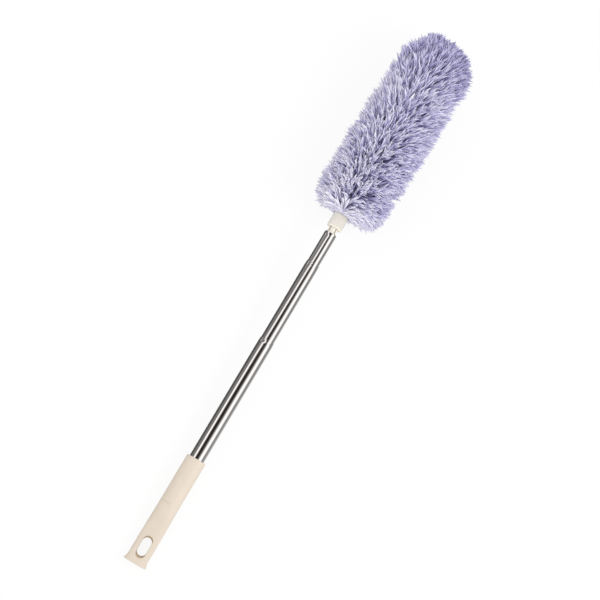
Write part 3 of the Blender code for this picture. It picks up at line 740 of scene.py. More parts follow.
# %% Turn the stem
NECK_DIAMETER = 0.0124
RIB_HEIGHT = 0.0008
RIB_RADIUS = 0.0036
CENTRE_HOLE = 0.0004
CHAMFER = 0.0003
PLUG_CHAMFER = 0.0006
SPIGOT_RADIUS = 0.0052
stem_low, stem_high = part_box("threaded_stem")
collar_low, collar_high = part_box("head_collar")
INNER_TOP = inner_high.x
COLLAR_FOOT = collar_low.x
plug_radius = INNER_RADIUS - TUBE_WALL - 0.0003
flange_foot = INNER_TOP + 0.0003
flange_top = INNER_TOP + 0.0015
flange_radius = INNER_RADIUS - 0.0003
neck_core = NECK_DIAMETER / 2 - RIB_HEIGHT
neck_top = COLLAR_FOOT - 0.0003
stem = turned("stem_turning", [
    (stem_low.x, CENTRE_HOLE), (stem_low.x, plug_radius - PLUG_CHAMFER),
    (stem_low.x + PLUG_CHAMFER, plug_radius), (flange_foot, plug_radius),
    (flange_foot, INNER_RADIUS - 0.0005), (INNER_TOP + 0.0005, flange_radius),
    (flange_top - CHAMFER, flange_radius), (flange_top, INNER_RADIUS - 0.0007),
    (flange_top, neck_core + CHAMFER), (flange_top + CHAMFER, neck_core), (neck_top, neck_core),
    (neck_top, SPIGOT_RADIUS), (stem_high.x - PLUG_CHAMFER, SPIGOT_RADIUS),
    (stem_high.x, SPIGOT_RADIUS - PLUG_CHAMFER), (stem_high.x, CENTRE_HOLE),
], stem_cream, sides=64)
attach(stem, "inner_pole")
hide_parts("threaded_stem")
print("stem:", len(stem.data.polygons), "faces")

# %% [markdown]
# ## Running a node tree
# What repeats is grown by a Geometry Nodes tree, which is written with the same wires as a finish.
# Two helpers serve every tree: one starts it with named inputs, and one sets those inputs, runs the
# tree and turns its result into a plain mesh, so that no modifier is left on the piece.


# %% Run a node tree
def new_tree(name, inputs):
    """Return a Geometry Nodes tree with named inputs, its start and its inputs' identifiers."""
    tree = bpy.data.node_groups.new(name, "GeometryNodeTree")
    tree.interface.new_socket("Geometry", in_out="INPUT", socket_type="NodeSocketGeometry")
    tree.interface.new_socket("Geometry", in_out="OUTPUT", socket_type="NodeSocketGeometry")
    names = {}
    for label, kind in inputs:
        item = tree.interface.new_socket(label, in_out="INPUT", socket_type="NodeSocket" + kind)
        names[label] = item.identifier
    return tree, Wire(tree).add("NodeGroupInput"), names


def grow(name, base, tree, names, values):
    """Run a tree on a base mesh and return the result as a plain object."""
    holder = bpy.data.objects.new(name + "_base", base)
    bpy.context.scene.collection.objects.link(holder)
    modifier = holder.modifiers.new("grow", "NODES")
    modifier.node_group = tree
    for label, value in values.items():
        modifier[names[label]] = value
    graph = bpy.context.evaluated_depsgraph_get()
    made = bpy.data.meshes.new_from_object(holder.evaluated_get(graph), depsgraph=graph)
    made.name = name
    holder.modifiers.remove(modifier)
    bpy.data.objects.remove(holder)
    piece = bpy.data.objects.new(name, made)
    bpy.context.scene.collection.objects.link(piece)
    return piece


# %% [markdown]
# ## Ribs by Geometry Nodes
# Four broad ribs stiffen the stem's neck, with narrow flutes between them. They are one shape
# repeated round a circle, which is what instances are for: a bar is swept along the pole once, its
# ends drawn in, then set on the points of a circle that stands across the pole, and the circle is
# turned so that a flute runs on the right of the seen side.

# %% Ribs round the neck
rib_tree, given, rib_names = new_tree("ribs_round_neck", [
    ("Count", "Int"), ("Foot", "Float"), ("Top", "Float"), ("Radius", "Float"), ("Width", "Float"),
    ("Turn", "Float"), ("Finish", "Material")])
foot_at = given.add("ShaderNodeCombineXYZ", {}, {"X": given.output("Foot")})
top_at = given.add("ShaderNodeCombineXYZ", {}, {"X": given.output("Top")})
bar = given.add("GeometryNodeCurvePrimitiveLine", {}, {"Start": foot_at, "End": top_at})
bar = given.add("GeometryNodeResampleCurve", {}, {"Curve": bar, "Count": 6})
share = given.add("GeometryNodeSplineParameter").output("Factor")
off_middle = given.math("ABSOLUTE", share * 2 - 1)
fade = given.math("POWER", 1 - off_middle * 0.96, 0.25)
outline = given.add("GeometryNodeCurvePrimitiveCircle", {},
                    {"Resolution": 24, "Radius": given.output("Width") * 0.5})
bar = given.add("GeometryNodeCurveToMesh", {}, {
    "Curve": bar, "Profile Curve": outline, "Scale": fade, "Fill Caps": True})
spots = given.add("GeometryNodeCurvePrimitiveCircle", {},
                  {"Resolution": given.output("Count"), "Radius": given.output("Radius")})
points = given.add("GeometryNodeCurveToPoints", {"mode": "EVALUATED"}, {"Curve": spots})
spot = given.add("GeometryNodeInputPosition")
spot = given.add("ShaderNodeVectorRotate", {"rotation_type": "Z_AXIS"},
                 {"Vector": spot, "Angle": given.output("Turn")})
at = given.add("ShaderNodeSeparateXYZ", {}, {0: spot})
across = given.add("ShaderNodeCombineXYZ", {}, {"Y": at.output("X"), "Z": at.output("Y")})
points = given.add("GeometryNodeSetPosition", {}, {"Geometry": points, "Position": across})
ribs = given.add("GeometryNodeInstanceOnPoints", {}, {"Points": points, "Instance": bar})
ribs = given.add("GeometryNodeRealizeInstances", {}, {"Geometry": ribs})
ribs = given.add("GeometryNodeSetMaterial", {}, {"Geometry": ribs, "Material": given.output("Finish")})
given.add("NodeGroupOutput", {}, {0: ribs})
stem_ribs = grow("stem_ribs", bpy.data.meshes.new("rib_base"), rib_tree, rib_names, {
    "Count": RIB_COUNT, "Foot": flange_top - 0.0002, "Top": COLLAR_FOOT - 0.0004,
    "Radius": NECK_DIAMETER / 2 - RIB_RADIUS, "Width": 2 * RIB_RADIUS, "Turn": math.radians(RIB_TURN),
    "Finish": stem_cream})
stem_ribs.data.shade_smooth()
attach(stem_ribs, "inner_pole")
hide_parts("threaded_stem")
print("ribs:", len(stem_ribs.data.polygons), "faces")

# %% [markdown]
# ## Collar
# The collar is a plain cream cup at the foot of the head. It screws on the stem, and the head's core
# is anchored in its upper recess. Its foot is well rounded. Its upper rim is nearly square and stands
# a little into the pile, which hides it.

# %% Turn the collar
COLLAR_TOP = collar_high.x
COLLAR_RADIUS = (collar_high.z - collar_low.z) / 2
EDGE = 0.0009
UPPER_EDGE = 0.0003
RIM_TOP = COLLAR_TOP + 0.0009
SOCKET_RADIUS = 0.0055
SOCKET_TOP = COLLAR_FOOT + 0.0093
WIRE_HOLE = 0.0019
RECESS_RADIUS = 0.0068
RECESS_FLOOR = COLLAR_FOOT + 0.0108
low_edge = [(COLLAR_FOOT + height, COLLAR_RADIUS - inset) for height, inset in quarter(EDGE, 5)]
upper_round = reversed(quarter(UPPER_EDGE, 5))
high_edge = [(RIM_TOP - height, COLLAR_RADIUS - inset) for height, inset in upper_round]
wall = [(x, COLLAR_RADIUS) for x in np.linspace(COLLAR_FOOT + EDGE, RIM_TOP - UPPER_EDGE, 10)[1:-1]]
collar = turned("collar_turning", [(COLLAR_FOOT, SOCKET_RADIUS)] + low_edge + wall + high_edge + [
    (RIM_TOP, RECESS_RADIUS), (RECESS_FLOOR, RECESS_RADIUS), (RECESS_FLOOR, WIRE_HOLE),
    (SOCKET_TOP, WIRE_HOLE), (SOCKET_TOP, SOCKET_RADIUS)], collar_cream, sides=80)
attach(collar, "inner_pole")
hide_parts("head_collar")
print("collar:", round(2000 * COLLAR_RADIUS, 1), "mm across")

# %% [markdown]
# ## The head's two outlines
# Under the pile is a fabric sleeve, and the tips of the pile end on a rounded canopy. Both are
# outlines of (along, radius) points turned about the head's axis, which leans a little off the
# pole's. A strand starts on the sleeve and ends at the same share of the canopy's length.

# %% Outlines
HEAD_LEAN = math.radians(-1.2)
HEAD_LENGTH = 0.270
HEAD_RADIUS = 0.0515
CORE_LENGTH = 0.230
head_place = Matrix.Translation((COLLAR_TOP, 0, 0)) @ Matrix.Rotation(HEAD_LEAN, 4, "Z")


def rounded_outline(start, start_radius, end, radius, foot_depth, tip_depth, count=600):
    turns = np.linspace(0, np.pi / 2, count)
    foot_x = start + foot_depth * (1 - np.cos(turns))
    foot_r = start_radius + (radius - start_radius) * np.sin(turns) ** 0.7
    tip_x = end - tip_depth * (1 - np.sin(turns))
    tip_r = radius * np.cos(turns)
    return np.concatenate([foot_x, tip_x]), np.concatenate([foot_r, tip_r])


class Outline:
    """An outline that is read by the share of its length."""

    def __init__(self, **sizes):
        self.along, self.radius = rounded_outline(**sizes)
        walked = np.concatenate([[0], np.cumsum(np.hypot(np.diff(self.along), np.diff(self.radius)))])
        self.length = walked[-1]
        self.shares = walked / walked[-1]

    def at(self, share):
        share = np.clip(share, 0, 1)
        return np.interp(share, self.shares, self.along), np.interp(share, self.shares, self.radius)

    def share_at(self, along):
        return float(np.interp(along, self.along, self.shares))


sleeve = Outline(start=0.0003, start_radius=0.01055, end=0.252, radius=0.023, foot_depth=0.010,
                 tip_depth=0.014)
canopy = Outline(start=0.0030, start_radius=0.022, end=HEAD_LENGTH + 0.001,
                 radius=1.012 * HEAD_RADIUS, foot_depth=0.022, tip_depth=0.050)
print("sleeve", round(sleeve.length, 4), "m and canopy", round(canopy.length, 4), "m along")

# %% [markdown]
# ## Which way the pile lies
# The pile isn't combed straight out. It leans towards the tip, and on the side that is seen it falls
# away from a wandering parting. Near the collar the parting opens into a fan, whose long strands lie
# out to both sides. All of it is a shift of the strand's end on the canopy, so that no strand leaves
# the head's outline.

# %% Lay of the pile
LEAN_SIDES = 0.009
LEAN_LEFT = 0.018
LEAN_RIGHT = 0.009
PUSH_LEFT = 0.05
PUSH_RIGHT = 0.29
PARTING_WIDTH = 0.22
FAN_PUSH = 1.10
FAN_WIDTH = 0.12
FAN_SHARE = 0.12
TUCK = 0.012
DROOP = 0.003
LOPSIDED = 0.025
TIP_NARROW = 0.10
BELLY = 0.035
LOOK_ROUND = 0.02


def parting_at(along):
    """Return where the parting runs, as an angle off the middle of the seen side."""
    return 0.07 * np.sin(along * 62.0 + 0.6) + 0.05 * np.sin(along * 131.0 + 2.0) - 0.14


def soft_step(value):
    value = np.clip(value, 0, 1)
    return value * value * (3 - 2 * value)


def lay(share, turn):
    """Return the strand's root, its end on the canopy and the way out of the canopy there."""
    root_x, root_r = sleeve.at(share)
    seen = (turn - np.pi / 2 + np.pi) % (2 * np.pi) - np.pi
    facing = np.clip(np.cos(seen), 0, 1)
    away = seen - parting_at(root_x)
    rightness = 0.5 + 0.5 * np.tanh(away / PARTING_WIDTH)
    lean = LEAN_LEFT + (LEAN_RIGHT - LEAN_LEFT) * rightness
    lean = LEAN_SIDES + (lean - LEAN_SIDES) * facing ** 1.5
    calm = soft_step(share / (0.16 - 0.11 * facing)) * soft_step((1 - share) / 0.30)
    gentle = (PUSH_LEFT + (PUSH_RIGHT - PUSH_LEFT) * rightness) * np.tanh(away / PARTING_WIDTH)
    steep = FAN_PUSH * np.tanh(away / FAN_WIDTH)
    at_foot = np.clip(1 - share / FAN_SHARE, 0, 1) ** 2
    push = (gentle + (steep - gentle) * at_foot) * facing ** 0.5 * np.clip((1 - share) / 0.2, 0, 1)
    end_share = share + calm * lean / canopy.length
    end_x, end_r = canopy.at(end_share)
    low_x, low_r = canopy.at(end_share - LOOK_ROUND)
    high_x, high_r = canopy.at(end_share + LOOK_ROUND)
    steepness = np.arctan2(low_r - high_r, high_x - low_x)
    under, over = np.clip(-np.sin(turn), 0, 1), np.clip(np.sin(turn), 0, 1)
    end_x = end_x + at_foot * (TUCK * under - DROOP * over)
    narrowing = TIP_NARROW * np.clip((share - 0.60) / 0.30, 0, 1) * (0.5 + 0.5 * np.cos(turn))
    wave = np.sin(2.2 * np.pi * np.clip(share, 0.2, 0.95) - 0.44 * np.pi)
    belly = BELLY * wave * np.clip(-np.cos(turn), 0, 1)
    end_r = end_r * (1 - LOPSIDED * np.cos(turn) - narrowing + belly)
    end_turn = turn + push
    root = np.stack([root_x, root_r * np.cos(turn), root_r * np.sin(turn)], -1)
    end = np.stack([end_x, end_r * np.cos(end_turn), end_r * np.sin(end_turn)], -1)
    flat = np.cos(steepness)
    out = np.stack([np.sin(steepness), flat * np.cos(end_turn), flat * np.sin(end_turn)], -1)
    return root, end, out


root, end, out = lay(np.array([0.5]), np.array([np.pi / 2]))
print("a strand in the middle is", round(1000 * float(np.linalg.norm(end - root)), 1), "mm long")

# %% [markdown]
# ## The sleeve carries the lay
# The tree that grows the tufts can't call Python. So each point of the sleeve keeps the way to its
# strand's end as an attribute, which the tree reads where it sets a tuft.

# %% Sleeve with its lay
def sleeve_mesh(name, low, high, rows, columns):
    """Return part of the sleeve as a mesh whose points know how far the canopy is."""
    shares = np.linspace(low, high, rows + 1)
    turns = np.linspace(0, 2 * np.pi, columns, endpoint=False)
    grid_s, grid_t = np.meshgrid(shares, turns, indexing="ij")
    root, end, out = lay(grid_s.ravel(), grid_t.ravel())
    faces = []
    for i in range(rows):
        this_row, next_row = i * columns, (i + 1) * columns
        for j in range(columns):
            k = (j + 1) % columns
            faces.append((this_row + j, this_row + k, next_row + k, next_row + j))
    mesh = bpy.data.meshes.new(name)
    rotation = np.array(head_place.to_3x3())
    offset = np.array(head_place.translation)
    mesh.from_pydata((root @ rotation.T + offset).tolist(), [], faces)
    bm = bmesh.new()
    bm.from_mesh(mesh)
    bmesh.ops.recalc_face_normals(bm, faces=bm.faces)
    middles = [face.calc_center_median() for face in bm.faces]
    outward = sum(face.normal.dot(Vector((0, m.y, m.z))) for face, m in zip(bm.faces, middles))
    if outward < 0:
        bmesh.ops.reverse_faces(bm, faces=bm.faces)
    bm.to_mesh(mesh)
    bm.free()
    for label, vectors in (("lay", end - root), ("edge", out)):
        kept_way = mesh.attributes.new(label, "FLOAT_VECTOR", "POINT")
        kept_way.data.foreach_set("vector", (vectors @ rotation.T).astype(np.float32).ravel())
    return mesh


print("sleeve helper ready")

# %% [markdown]
# ## Finish of the pile
# Split microfibre is lavender. Its colour ramps run from dark roots to pale tips, which is painted
# shade at the roots and painted light at the tips. Each tuft has its own tone. Both values come from
# the fibre itself, through a UV map: U is the tuft's tone, and V runs from the root at 0 to the tip
# at 1.

# %% Lavender microfibre
PILE_MAP = "OFBake"
# Both ramps run from dark roots to pale tips: painted shade at the roots and painted light at the tips.
DEEP_TUFT = [
    (0.00, (0.182, 0.168, 0.340)), (0.50, (0.312, 0.289, 0.515)), (0.80, (0.562, 0.536, 0.800)),
    (1.00, (0.710, 0.686, 0.950)),
]
PALE_TUFT = [
    (0.00, (0.345, 0.320, 0.580)), (0.50, (0.700, 0.673, 0.960)), (0.80, (0.905, 0.882, 1.000)),
    (1.00, (0.945, 0.926, 1.000)),
]
lavender, shader, start = new_finish("lavender_microfibre")
split = start.add("ShaderNodeSeparateXYZ", {}, {0: start.add("ShaderNodeUVMap", {"uv_map": PILE_MAP})})
reach = split.output("Y")
deep = start.add("ShaderNodeValToRGB", {"stops": DEEP_TUFT}, {"Fac": reach})
pale = start.add("ShaderNodeValToRGB", {"stops": PALE_TUFT}, {"Fac": reach})
plug(shader, Base_Color=split.output("X").between(0.05, 0.95).tint(deep, pale))
shader.inputs["Roughness"].default_value = 0.72
shader.inputs["Sheen Weight"].default_value = 0.60
shader.inputs["Sheen Tint"].default_value = (0.76, 0.76, 1.0, 1.0)
shader.inputs["Sheen Roughness"].default_value = 0.4
shader.inputs["Specular IOR Level"].default_value = 0.25
print("pile:", lavender.name)

# %% [markdown]
# ## Cloth of the sleeve
# The sleeve under the pile is seen only deep in the gaps, and its plain dark weave is painted shade
# there. Its gathered end at the collar is painted paler, as painted light.

# %% Sleeve cloth
PAINTED_LIGHT_SPAN = (0.002, 0.012)
GATHERED_END_PAINTED_LIGHT = (0.600, 0.570, 0.800, 1.0)
sleeve_cloth, shader, start = new_finish("sleeve_cloth")
place = start.add("ShaderNodeTexCoord").output("Object")
weave = noise(start, place, 700.0, 2.0).between(0.3, 0.7)
# The weave's dark colours are painted shade, for the gaps deep in the pile.
weave = weave.tint((0.110, 0.098, 0.215, 1.0), (0.190, 0.172, 0.340, 1.0))
beside_collar = start.add("ShaderNodeSeparateXYZ", {}, {0: place}).output("X") - COLLAR_TOP
# Painted light: the sleeve is tinted paler beside the collar.
painted_light_at_collar = 1 - beside_collar.between(*PAINTED_LIGHT_SPAN)
plug(shader, Base_Color=painted_light_at_collar.tint(weave, GATHERED_END_PAINTED_LIGHT))
shader.inputs["Roughness"].default_value = 0.9
print("cloth:", sleeve_cloth.name)

# %% [markdown]
# ## Tufts by Geometry Nodes
# The head has many thousand fibres, which gather in pointed tufts. A few kinds of tuft are swept
# once, and the tree sets them on points scattered over the sleeve. Its inputs are named, so that the
# five pieces of the head can share it.

# %% Start the tree of tufts
fur_tree, given, fur_names = new_tree("tufts_on_sleeve", [
    ("Tufts per m2", "Float"), ("Closest", "Float"), ("Fibre width", "Float"), ("Lock size", "Float"),
    ("Lock pull", "Float"), ("Lock lean", "Float"), ("Swirl", "Float"), ("Stray", "Float"),
    ("Shortest", "Float"), ("Widest", "Float"), ("Seed", "Int"), ("Finish", "Material")])


def draw(low, high, step):
    """Return a random number for each tuft; step keeps one draw apart from the others."""
    return given.add("FunctionNodeRandomValue", {"data_type": "FLOAT"},
                     {2: low, 3: high, "Seed": given.output("Seed") + step}, 1)


def keep(geometry, label, value):
    return given.add("GeometryNodeStoreNamedAttribute", {"data_type": "FLOAT"},
                     {"Geometry": geometry, "Name": label, "Value": value})


def stored(label, kind="FLOAT"):
    return given.add("GeometryNodeInputNamedAttribute", {"data_type": kind}, {"Name": label})


def curve_of(wire, points):
    """Read a value through a curve drawn from listed points."""
    drawn = given.add("ShaderNodeFloatCurve", {}, {"Value": wire})
    line = drawn.socket.node.mapping.curves[0]
    line.points[0].location = points[0]
    line.points[-1].location = points[-1]
    for point in points[1:-1]:
        line.points.new(*point)
    drawn.socket.node.mapping.update()
    return drawn


print("inputs:", ", ".join(fur_names))

# %% [markdown]
# ## One tuft
# A tuft is a few fibres that start together, spread a little and meet again in a point, and bend to
# one side. It stands along Z and is one unit long, so that its scale gives its length. A fibre is
# thickest past its middle, like a leaf, and has only three sides.

# %% Make the kinds of tuft
TUFT_KINDS = [
    {"fibres": 2, "bend": 0.0010, "splay": 0.0006, "girth": 1.40, "bonus": 0.00},
    {"fibres": 1, "bend": 0.0030, "splay": 0.0001, "girth": 1.90, "bonus": 0.05},
    {"fibres": 2, "bend": 0.0045, "splay": 0.0007, "girth": 1.25, "bonus": 0.05},
    {"fibres": 2, "bend": 0.0060, "splay": 0.0006, "girth": 1.40, "bonus": 0.00},
    {"fibres": 1, "bend": 0.0040, "splay": 0.0001, "girth": 1.00, "bonus": 0.30},
]


def make_tuft(fibres, bend, splay, girth, bonus):
    """Return a tuft as one instance."""
    line = given.add("GeometryNodeCurvePrimitiveLine", {}, {"Start": (0, 0, 0), "End": (0, 0, 1)})
    line = given.add("GeometryNodeResampleCurve", {}, {"Curve": line, "Count": 5})
    row = given.add("GeometryNodeMeshLine", {}, {"Count": fibres, "Offset": (0, 0, 0)})
    group = given.add("GeometryNodeInstanceOnPoints", {}, {"Points": row, "Instance": line})
    group = given.add("GeometryNodeRealizeInstances", {}, {"Geometry": group})
    reach = given.add("GeometryNodeSplineParameter").output("Factor")
    number = given.add("GeometryNodeCurveOfPoint")
    group = keep(keep(group, "reach", reach), "fibre", number * 0.10 + bonus)
    rise = given.math("POWER", reach, 0.60) * (1 - number * 0.09)
    angle = number * (2 * math.pi / fibres) + bend * 900
    spread = curve_of(reach, [(0, 0.4), (0.4, 0.9), (0.75, 0.8), (1, 0.35)]) * splay
    x = given.math("COSINE", angle) * spread + given.math("POWER", rise, 3.0) * bend
    y = given.math("SINE", angle) * spread
    spot = given.add("ShaderNodeCombineXYZ", {}, {"X": x, "Y": y, "Z": rise})
    group = given.add("GeometryNodeSetPosition", {}, {"Geometry": group, "Position": spot})
    leaf = curve_of(reach, [(0, 0.40), (0.3, 0.70), (0.8, 1.0), (1, 0.16)]) * girth
    section = given.add("GeometryNodeCurvePrimitiveCircle", {},
                        {"Resolution": 3, "Radius": given.output("Fibre width") * 0.5})
    section = keep(section, "side", given.add("GeometryNodeSplineParameter").output("Factor"))
    tuft = given.add("GeometryNodeCurveToMesh", {}, {
        "Curve": group, "Profile Curve": section, "Scale": leaf, "Fill Caps": True})
    tuft = given.add("GeometryNodeSetShadeSmooth", {}, {"Geometry": tuft})
    return given.add("GeometryNodeGeometryToInstance", {}, {0: tuft})


kinds = given.add("GeometryNodeJoinGeometry")
for kind in TUFT_KINDS:
    given.tree.links.new(make_tuft(**kind).socket, kinds.socket.node.inputs[0])
print(len(TUFT_KINDS), "kinds of tuft")

# %% [markdown]
# ## Locks
# Tufts cling together in locks. A Voronoi texture, read where the tufts end, shares the canopy out
# into cells. The tufts of one cell are pulled to its middle, lean one way together and are about one
# length, so that a lock ends in a point and its neighbours cross it. A broad noise swirls them all.

# %% Scatter the tufts and gather them in locks
MIDDLE_GREY = (0.5, 0.5, 0.5)
SWIRLS_PER_M = 45.0
scatter = given.add("GeometryNodeDistributePointsOnFaces", {"distribute_method": "POISSON"}, {
    "Mesh": given, "Distance Min": given.output("Closest"), "Density Max": given.output("Tufts per m2"),
    "Seed": given.output("Seed")})
away = stored("lay", "FLOAT_VECTOR")
here = given.add("GeometryNodeInputPosition")
tip = here.vector("ADD", here, away)
fineness = given.math("DIVIDE", 1.0, given.output("Lock size"))
cells = given.add("ShaderNodeTexVoronoi", {}, {"Vector": tip, "Scale": fineness})
to_middle = tip.vector("SUBTRACT", cells.output("Position"), tip)
pull = to_middle.scaled(given.output("Lock pull") * draw(0.4, 1.0, 3))
own_way = tip.vector("SUBTRACT", cells.output("Color"), MIDDLE_GREY)
own_way = own_way.scaled(given.output("Lock lean"))
broad = given.add("ShaderNodeTexNoise", {}, {"Vector": tip, "Scale": SWIRLS_PER_M, "Detail": 1.0})
swirl = broad.vector("SUBTRACT", broad.output("Color"), MIDDLE_GREY).scaled(given.output("Swirl"))
stray = given.add("FunctionNodeRandomValue", {"data_type": "FLOAT_VECTOR"},
                  {0: (-1, -1, -1), 1: (1, 1, 1), "Seed": given.output("Seed")})
stray = stray.scaled(given.output("Stray"))
from_collar = given.add("ShaderNodeSeparateXYZ", {}, {0: here}).output("X") - COLLAR_TOP
at_collar = 1 - from_collar.between(0.002, 0.022)
wander = pull.vector("ADD", own_way, swirl).scaled(1 - at_collar * 0.7)
shift = pull.vector("ADD", pull, pull.vector("ADD", wander, stray))
edge = stored("edge", "FLOAT_VECTOR")
beyond = shift.math("MAXIMUM", shift.vector("DOT_PRODUCT", shift, edge, output="Value"), 0.0)
strand = away.vector("ADD", away, shift.vector("SUBTRACT", shift, edge.scaled(beyond)))
print("strands gathered")

# %% [markdown]
# ## Keeping the outline
# The photographed head has an even outline with a fine fringe. A lock that leans along the head can
# still leave it, so a strand that would end further off the head's axis than the widest place is
# drawn in. The strands' lengths then differ a little, one lock from the next.

# %% Hold the strands inside the widest place and aim them
head_axis = tuple(head_place.to_3x3() @ Vector((1, 0, 0)))
from_foot = here.vector("SUBTRACT", here.vector("ADD", here, strand), tuple(head_place.translation))
up_head = here.vector("DOT_PRODUCT", from_foot, head_axis, output="Value")
on_axis = given.add("ShaderNodeVectorMath", {"operation": "SCALE"}, {0: head_axis, "Scale": up_head})
off_axis = here.vector("SUBTRACT", from_foot, on_axis)
outreach = here.vector("LENGTH", off_axis, output="Value")
excess = given.math("MAXIMUM", outreach - given.output("Widest"), 0.0) / outreach
strand = here.vector("SUBTRACT", strand, off_axis.scaled(excess))
lock = given.add("ShaderNodeSeparateXYZ", {}, {0: cells.output("Color")}).output("X")
trim = 1 - given.math("POWER", lock, 3.0) * (1 - given.output("Shortest")) * (1 - at_collar)
straight = away.vector("LENGTH", away, output="Value")
gathered = away.vector("LENGTH", strand, output="Value")
tall = given.math("MINIMUM", straight, gathered) * trim * draw(0.90, 1.0, 7)
aimed = given.add("FunctionNodeAlignRotationToVector", {"axis": "Z"}, {"Vector": strand})
spin = given.add("FunctionNodeAxisAngleToRotation", {},
                 {"Axis": (0, 0, 1), "Angle": draw(0.0, 6.28, 13)})
aimed = given.add("FunctionNodeRotateRotation", {"rotation_space": "LOCAL"},
                  {"Rotation": aimed, "Rotate By": spin})
thick = draw(0.70, 1.35, 19)
size = given.add("ShaderNodeCombineXYZ", {}, {"X": thick, "Y": thick, "Z": tall})
print("tufts aimed")

# %% [markdown]
# ## Tones, and the finished pile
# A tuft's tone is mostly its own, partly its lock's and a little its neighbourhood's. The pile is
# paler on its left. It is painted lighter at the collar and along the middle just above it, as painted
# light, and deeper towards its tip, as painted shade. Two more values change how far up its ramp of
# colours a fibre seems to be: painted light makes the long strands at the collar, and those above it,
# pale from their roots on, and painted shade keeps those at the tip and on the right deep to their
# ends. The tone and the reach go into the UV map that the finish reads. Then the instances are made
# real and get their material.

# %% Tone the tufts and set them
PATCHES_PER_M = 70.0
PATCH_TONE, LOCK_TONE, OWN_TONE, SIDE_TONE = 0.16, 0.28, 0.88, 0.012
LEFT_PALER, COLLAR_PAINTED_LIGHT, MIDDLE_PAINTED_LIGHT = 0.17, 0.26, 0.18
TIP_PAINTED_SHADE, ALL_DEEPER = 0.28, 0.18
COLLAR_ROOTS_PAINTED_LIGHT, MIDDLE_ROOTS_PAINTED_LIGHT = 0.46, 0.36
TIP_ENDS_PAINTED_SHADE, RIGHT_ENDS_PAINTED_SHADE = 0.28, 0.09

patch = given.add("ShaderNodeTexNoise", {}, {"Vector": tip, "Scale": PATCHES_PER_M, "Detail": 2.0})
hue = given.add("ShaderNodeSeparateXYZ", {}, {0: cells.output("Color")}).output("Y")
above_collar = 1 - from_collar.between(0.05, 0.13)
at_tip = from_collar.between(0.150, 0.240)
tip_aside = given.add("ShaderNodeSeparateXYZ", {}, {0: tip}).output("Y")
to_left = tip_aside.between(-0.05, 0.05)
at_right = 1 - tip_aside.between(-0.055, -0.030)
in_middle = 1 - given.math("ABSOLUTE", tip_aside).between(0.012, 0.045)
tone = patch.between(0.35, 0.65) * PATCH_TONE + hue * LOCK_TONE + draw(0.0, OWN_TONE, 29)
# The paler tone at the collar and along the middle above it is painted light; the deeper tone at the
# tip is painted shade.
tone = tone + to_left * LEFT_PALER + at_collar * COLLAR_PAINTED_LIGHT
tone = tone + above_collar * in_middle * MIDDLE_PAINTED_LIGHT - at_tip * TIP_PAINTED_SHADE - ALL_DEEPER
# Roots made pale at the collar and above it are painted light; ends kept deep at the tip and on the
# right are painted shade.
paleness = at_collar * COLLAR_ROOTS_PAINTED_LIGHT + above_collar * in_middle * MIDDLE_ROOTS_PAINTED_LIGHT
scatter = keep(keep(scatter, "tone", tone), "paleness", paleness)
scatter = keep(scatter, "depth", at_tip * TIP_ENDS_PAINTED_SHADE + at_right * RIGHT_ENDS_PAINTED_SHADE)
last = len(TUFT_KINDS) - 1
pick = given.add("FunctionNodeRandomValue", {"data_type": "INT"},
                 {4: 0, 5: last, "Seed": given.output("Seed") + 37}, 2)
tufts = given.add("GeometryNodeInstanceOnPoints", {}, {
    "Points": scatter, "Instance": kinds, "Pick Instance": True, "Instance Index": pick,
    "Rotation": aimed, "Scale": size})
tufts = given.add("GeometryNodeRealizeInstances", {}, {"Geometry": tufts})
across = stored("tone") + stored("side") * SIDE_TONE + stored("fibre")
shown_reach = stored("reach") + (1 - stored("reach")) * stored("paleness")
shown_reach = shown_reach * (1 - stored("depth"))
flat = given.add("ShaderNodeCombineXYZ", {}, {"X": across, "Y": shown_reach})
tufts = given.add("GeometryNodeStoreNamedAttribute", {"data_type": "FLOAT2", "domain": "CORNER"},
                  {"Geometry": tufts, "Name": PILE_MAP, "Value": flat})
tufts = given.add("GeometryNodeSetMaterial", {},
                  {"Geometry": tufts, "Material": given.output("Finish")})
given.add("NodeGroupOutput", {}, {0: tufts})
print("the tree for tufts has", len(fur_tree.nodes), "nodes")
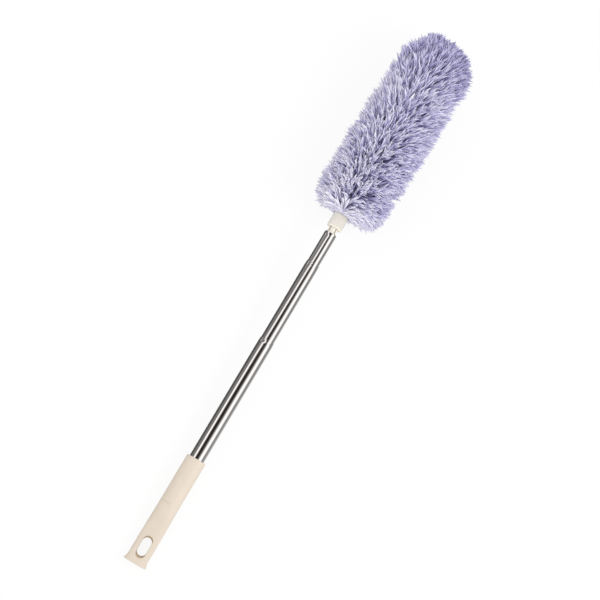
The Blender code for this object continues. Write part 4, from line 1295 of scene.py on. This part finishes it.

# %% [markdown]
# ## The head in pieces that can bend
# The real head bends along its whole length. The frame has three hinges, so the pile, its sleeve and
# the foam under it are made in pieces: one for the foot, one across each hinge, and one for the tip.
# A piece across a hinge is attached to neither body; its placement is only applied to its mesh.

# %% Grow each piece of the head
TUFTS_PER_M2 = 420000.0
SLEEVE_STEP = 0.003
SLEEVE_COLUMNS = 64
FIRST_SEED = 11
FOAM_RADIUS = 0.0065
FOAM_BORE = 0.0016
SLIT = 0.0001
half = CORE_LENGTH / 8
limits = [0.0] + [sleeve.share_at(half * (1 + 2 * k)) for k in range(4)] + [0.985]
foam_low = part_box("core_sheath_1")[0].x - COLLAR_TOP
foam_high = (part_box("core_sheath_4")[1].x - COLLAR_TOP) / math.cos(HEAD_LEAN)
foam_limits = [foam_low] + [half * (1 + 2 * k) for k in range(4)] + [foam_high]
stretches = [
    ("foot", ["inner_pole"], [1]),
    ("bend_1", ["inner_pole", "head_2"], [1, 2]),
    ("bend_2", ["head_2", "head_3"], [2, 3]),
    ("bend_3", ["head_3", "head_4"], [3, 4]),
    ("tip", ["head_4"], [4]),
]


def foam_piece(name, low, high):
    """Return a length of the foam sleeve, which is a thick tube over the wire."""
    steps = np.linspace(low + SLIT, high - SLIT, 13)
    outside = [(x, FOAM_RADIUS) for x in steps]
    inside = [(x, FOAM_BORE) for x in reversed(steps)]
    piece = turned("foam_" + name, outside + inside, foam, sides=40)
    piece.data.transform(head_place)
    return piece


def carry(piece, bodies):
    """Let a piece of the head ride its body; a piece across a hinge only has its placement applied to
    its mesh.
    """
    if len(bodies) == 1:
        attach(piece, bodies[0])
        return
    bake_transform(piece)


total = 0
for number, (name, bodies, slices) in enumerate(stretches):
    low, high = limits[number], limits[number + 1]
    rows = max(4, round((high - low) * sleeve.length / SLEEVE_STEP))
    base = sleeve_mesh("sleeve_" + name, low, high, rows, SLEEVE_COLUMNS)
    pile = grow("pile_" + name, base.copy(), fur_tree, fur_names, {
        "Tufts per m2": TUFTS_PER_M2 * 1.0, "Closest": 0.0008,
        "Fibre width": 0.0015, "Lock size": 0.0050, "Lock pull": 0.80, "Lock lean": 0.032,
        "Swirl": 0.036, "Stray": 0.0015, "Shortest": 0.76, "Widest": 1.06 * HEAD_RADIUS,
        "Seed": FIRST_SEED + number, "Finish": lavender})
    cloth = bpy.data.objects.new("sleeve_" + name, base)
    bpy.context.scene.collection.objects.link(cloth)
    base.shade_smooth()
    base.materials.append(sleeve_cloth)
    for piece in (pile, cloth):
        carry(piece, bodies)
        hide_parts(*[f"pile_{k}" for k in slices])
    foam_tube = foam_piece(name, foam_limits[number], foam_limits[number + 1])
    carry(foam_tube, bodies)
    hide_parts(*[f"core_sheath_{k}" for k in slices])
    count = sum(len(p.vertices) - 2 for p in pile.data.polygons)
    total += count
    print(pile.name, count, "triangles")
print("pile in all:", total, "triangles")

# %% [markdown]
# ## Sizes and the end
# The box round the visual model is measured and printed. The visual model may not outgrow the
# CAD box by more than fabric does.

# %% Measure the visual box
low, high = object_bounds()
print("visual box in mm:", [round(1000 * v, 1) for v in low], [round(1000 * v, 1) for v in high])
